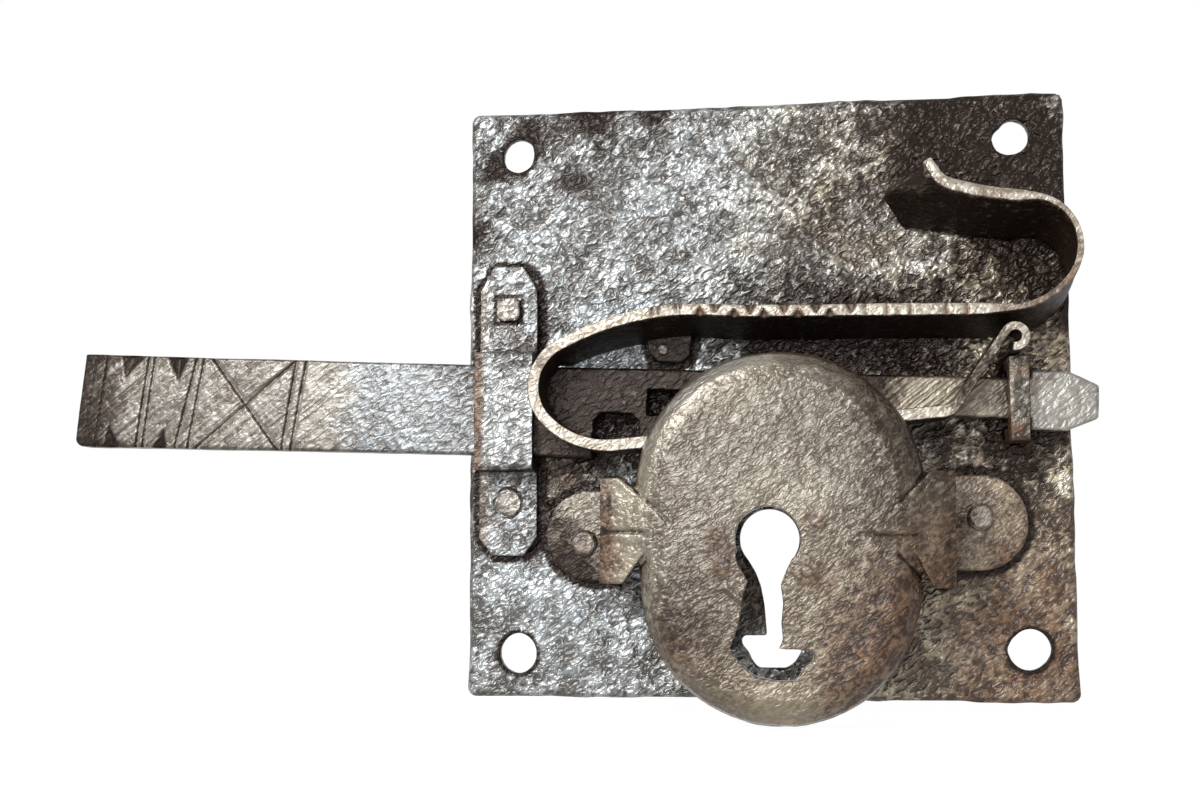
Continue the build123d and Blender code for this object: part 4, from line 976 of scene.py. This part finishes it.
# %% Make the floor and the room
def white_to_the_eye(tree, plain, share, white=1.0):
    """Show white to the camera, in reflections and through glass, over a plain surface or room."""
    path = tree.nodes.new("ShaderNodeLightPath")
    seen = path.outputs["Is Camera Ray"]
    for name in ("Is Glossy Ray", "Is Transmission Ray"):
        either = tree.nodes.new("ShaderNodeMath")
        either.operation = "MAXIMUM"
        tree.links.new(seen, either.inputs[0])
        tree.links.new(path.outputs[name], either.inputs[1])
        seen = either.outputs[0]
    part = tree.nodes.new("ShaderNodeMath")
    part.operation = "MULTIPLY"
    tree.links.new(seen, part.inputs[0])
    part.inputs[1].default_value = share
    glow = tree.nodes.new("ShaderNodeEmission" if plain.bl_idname != "ShaderNodeBackground" else "ShaderNodeBackground")
    glow.inputs["Color"].default_value = (1, 1, 1, 1)
    glow.inputs["Strength"].default_value = white
    both = tree.nodes.new("ShaderNodeMixShader")
    tree.links.new(part.outputs[0], both.inputs[0])
    tree.links.new(plain.outputs[0], both.inputs[1])
    tree.links.new(glow.outputs[0], both.inputs[2])
    return both.outputs[0]


bpy.ops.mesh.primitive_plane_add(size=8.0, location=(0, 0, cad_box[0][2] - 0.0004))
floor = bpy.context.object
floor.name = "pale_floor"
paper = bpy.data.materials.new("pale_paper")
paper.use_nodes = True
tree = paper.node_tree
surface = tree.nodes["Principled BSDF"]
surface.inputs["Base Color"].default_value = (0.86, 0.86, 0.86, 1)
surface.inputs["Roughness"].default_value = 0.9
tree.links.new(white_to_the_eye(tree, surface, 0.8, 1.2), tree.nodes["Material Output"].inputs["Surface"])
floor.data.materials.append(paper)

room = bpy.data.worlds.new("pale_room")
bpy.context.scene.world = room
room.use_nodes = True
tree = room.node_tree
tree.nodes.clear()
plain = tree.nodes.new("ShaderNodeBackground")
plain.inputs["Color"].default_value = (1, 1, 1, 1)
plain.inputs["Strength"].default_value = 0.18
out = tree.nodes.new("ShaderNodeOutputWorld")
tree.links.new(white_to_the_eye(tree, plain, 1.0), out.inputs["Surface"])


# %% Hang the lamps
def soft_lamp(name, place, size, power, colour=(1, 1, 1)):
    """A square soft lamp aimed at the lock."""
    lamp = bpy.data.objects.new(name, bpy.data.lights.new(name, "AREA"))
    lamp.data.size = size
    lamp.data.energy = power
    lamp.data.color = colour
    lamp.location = place
    bpy.context.scene.collection.objects.link(lamp)
    aim = lamp.location.copy()
    aim.z += 0.01
    lamp.rotation_euler = aim.to_track_quat("Z", "Y").to_euler()
    return lamp


soft_lamp("key_lamp", (-0.46, -0.82, 0.46), 0.36, 8.2)
soft_lamp("sheen_lamp", (-0.20, -1.20, 0.16), 0.6, 7.5, (0.95, 0.98, 1.0))

# %% Stand the camera where the photograph was taken
eye = bpy.data.cameras.new("eye")
eye.lens = 43.5
eye.sensor_width = 36.0
camera = bpy.data.objects.new("eye", eye)
camera.location = (0.00747, -0.36460, -0.03561)
camera.rotation_euler = [math.radians(turn) for turn in (95.5035, 0.0584, 7.6172)]
bpy.context.scene.collection.objects.link(camera)
bpy.context.scene.camera = camera
bpy.context.scene.view_settings.view_transform = "Standard"
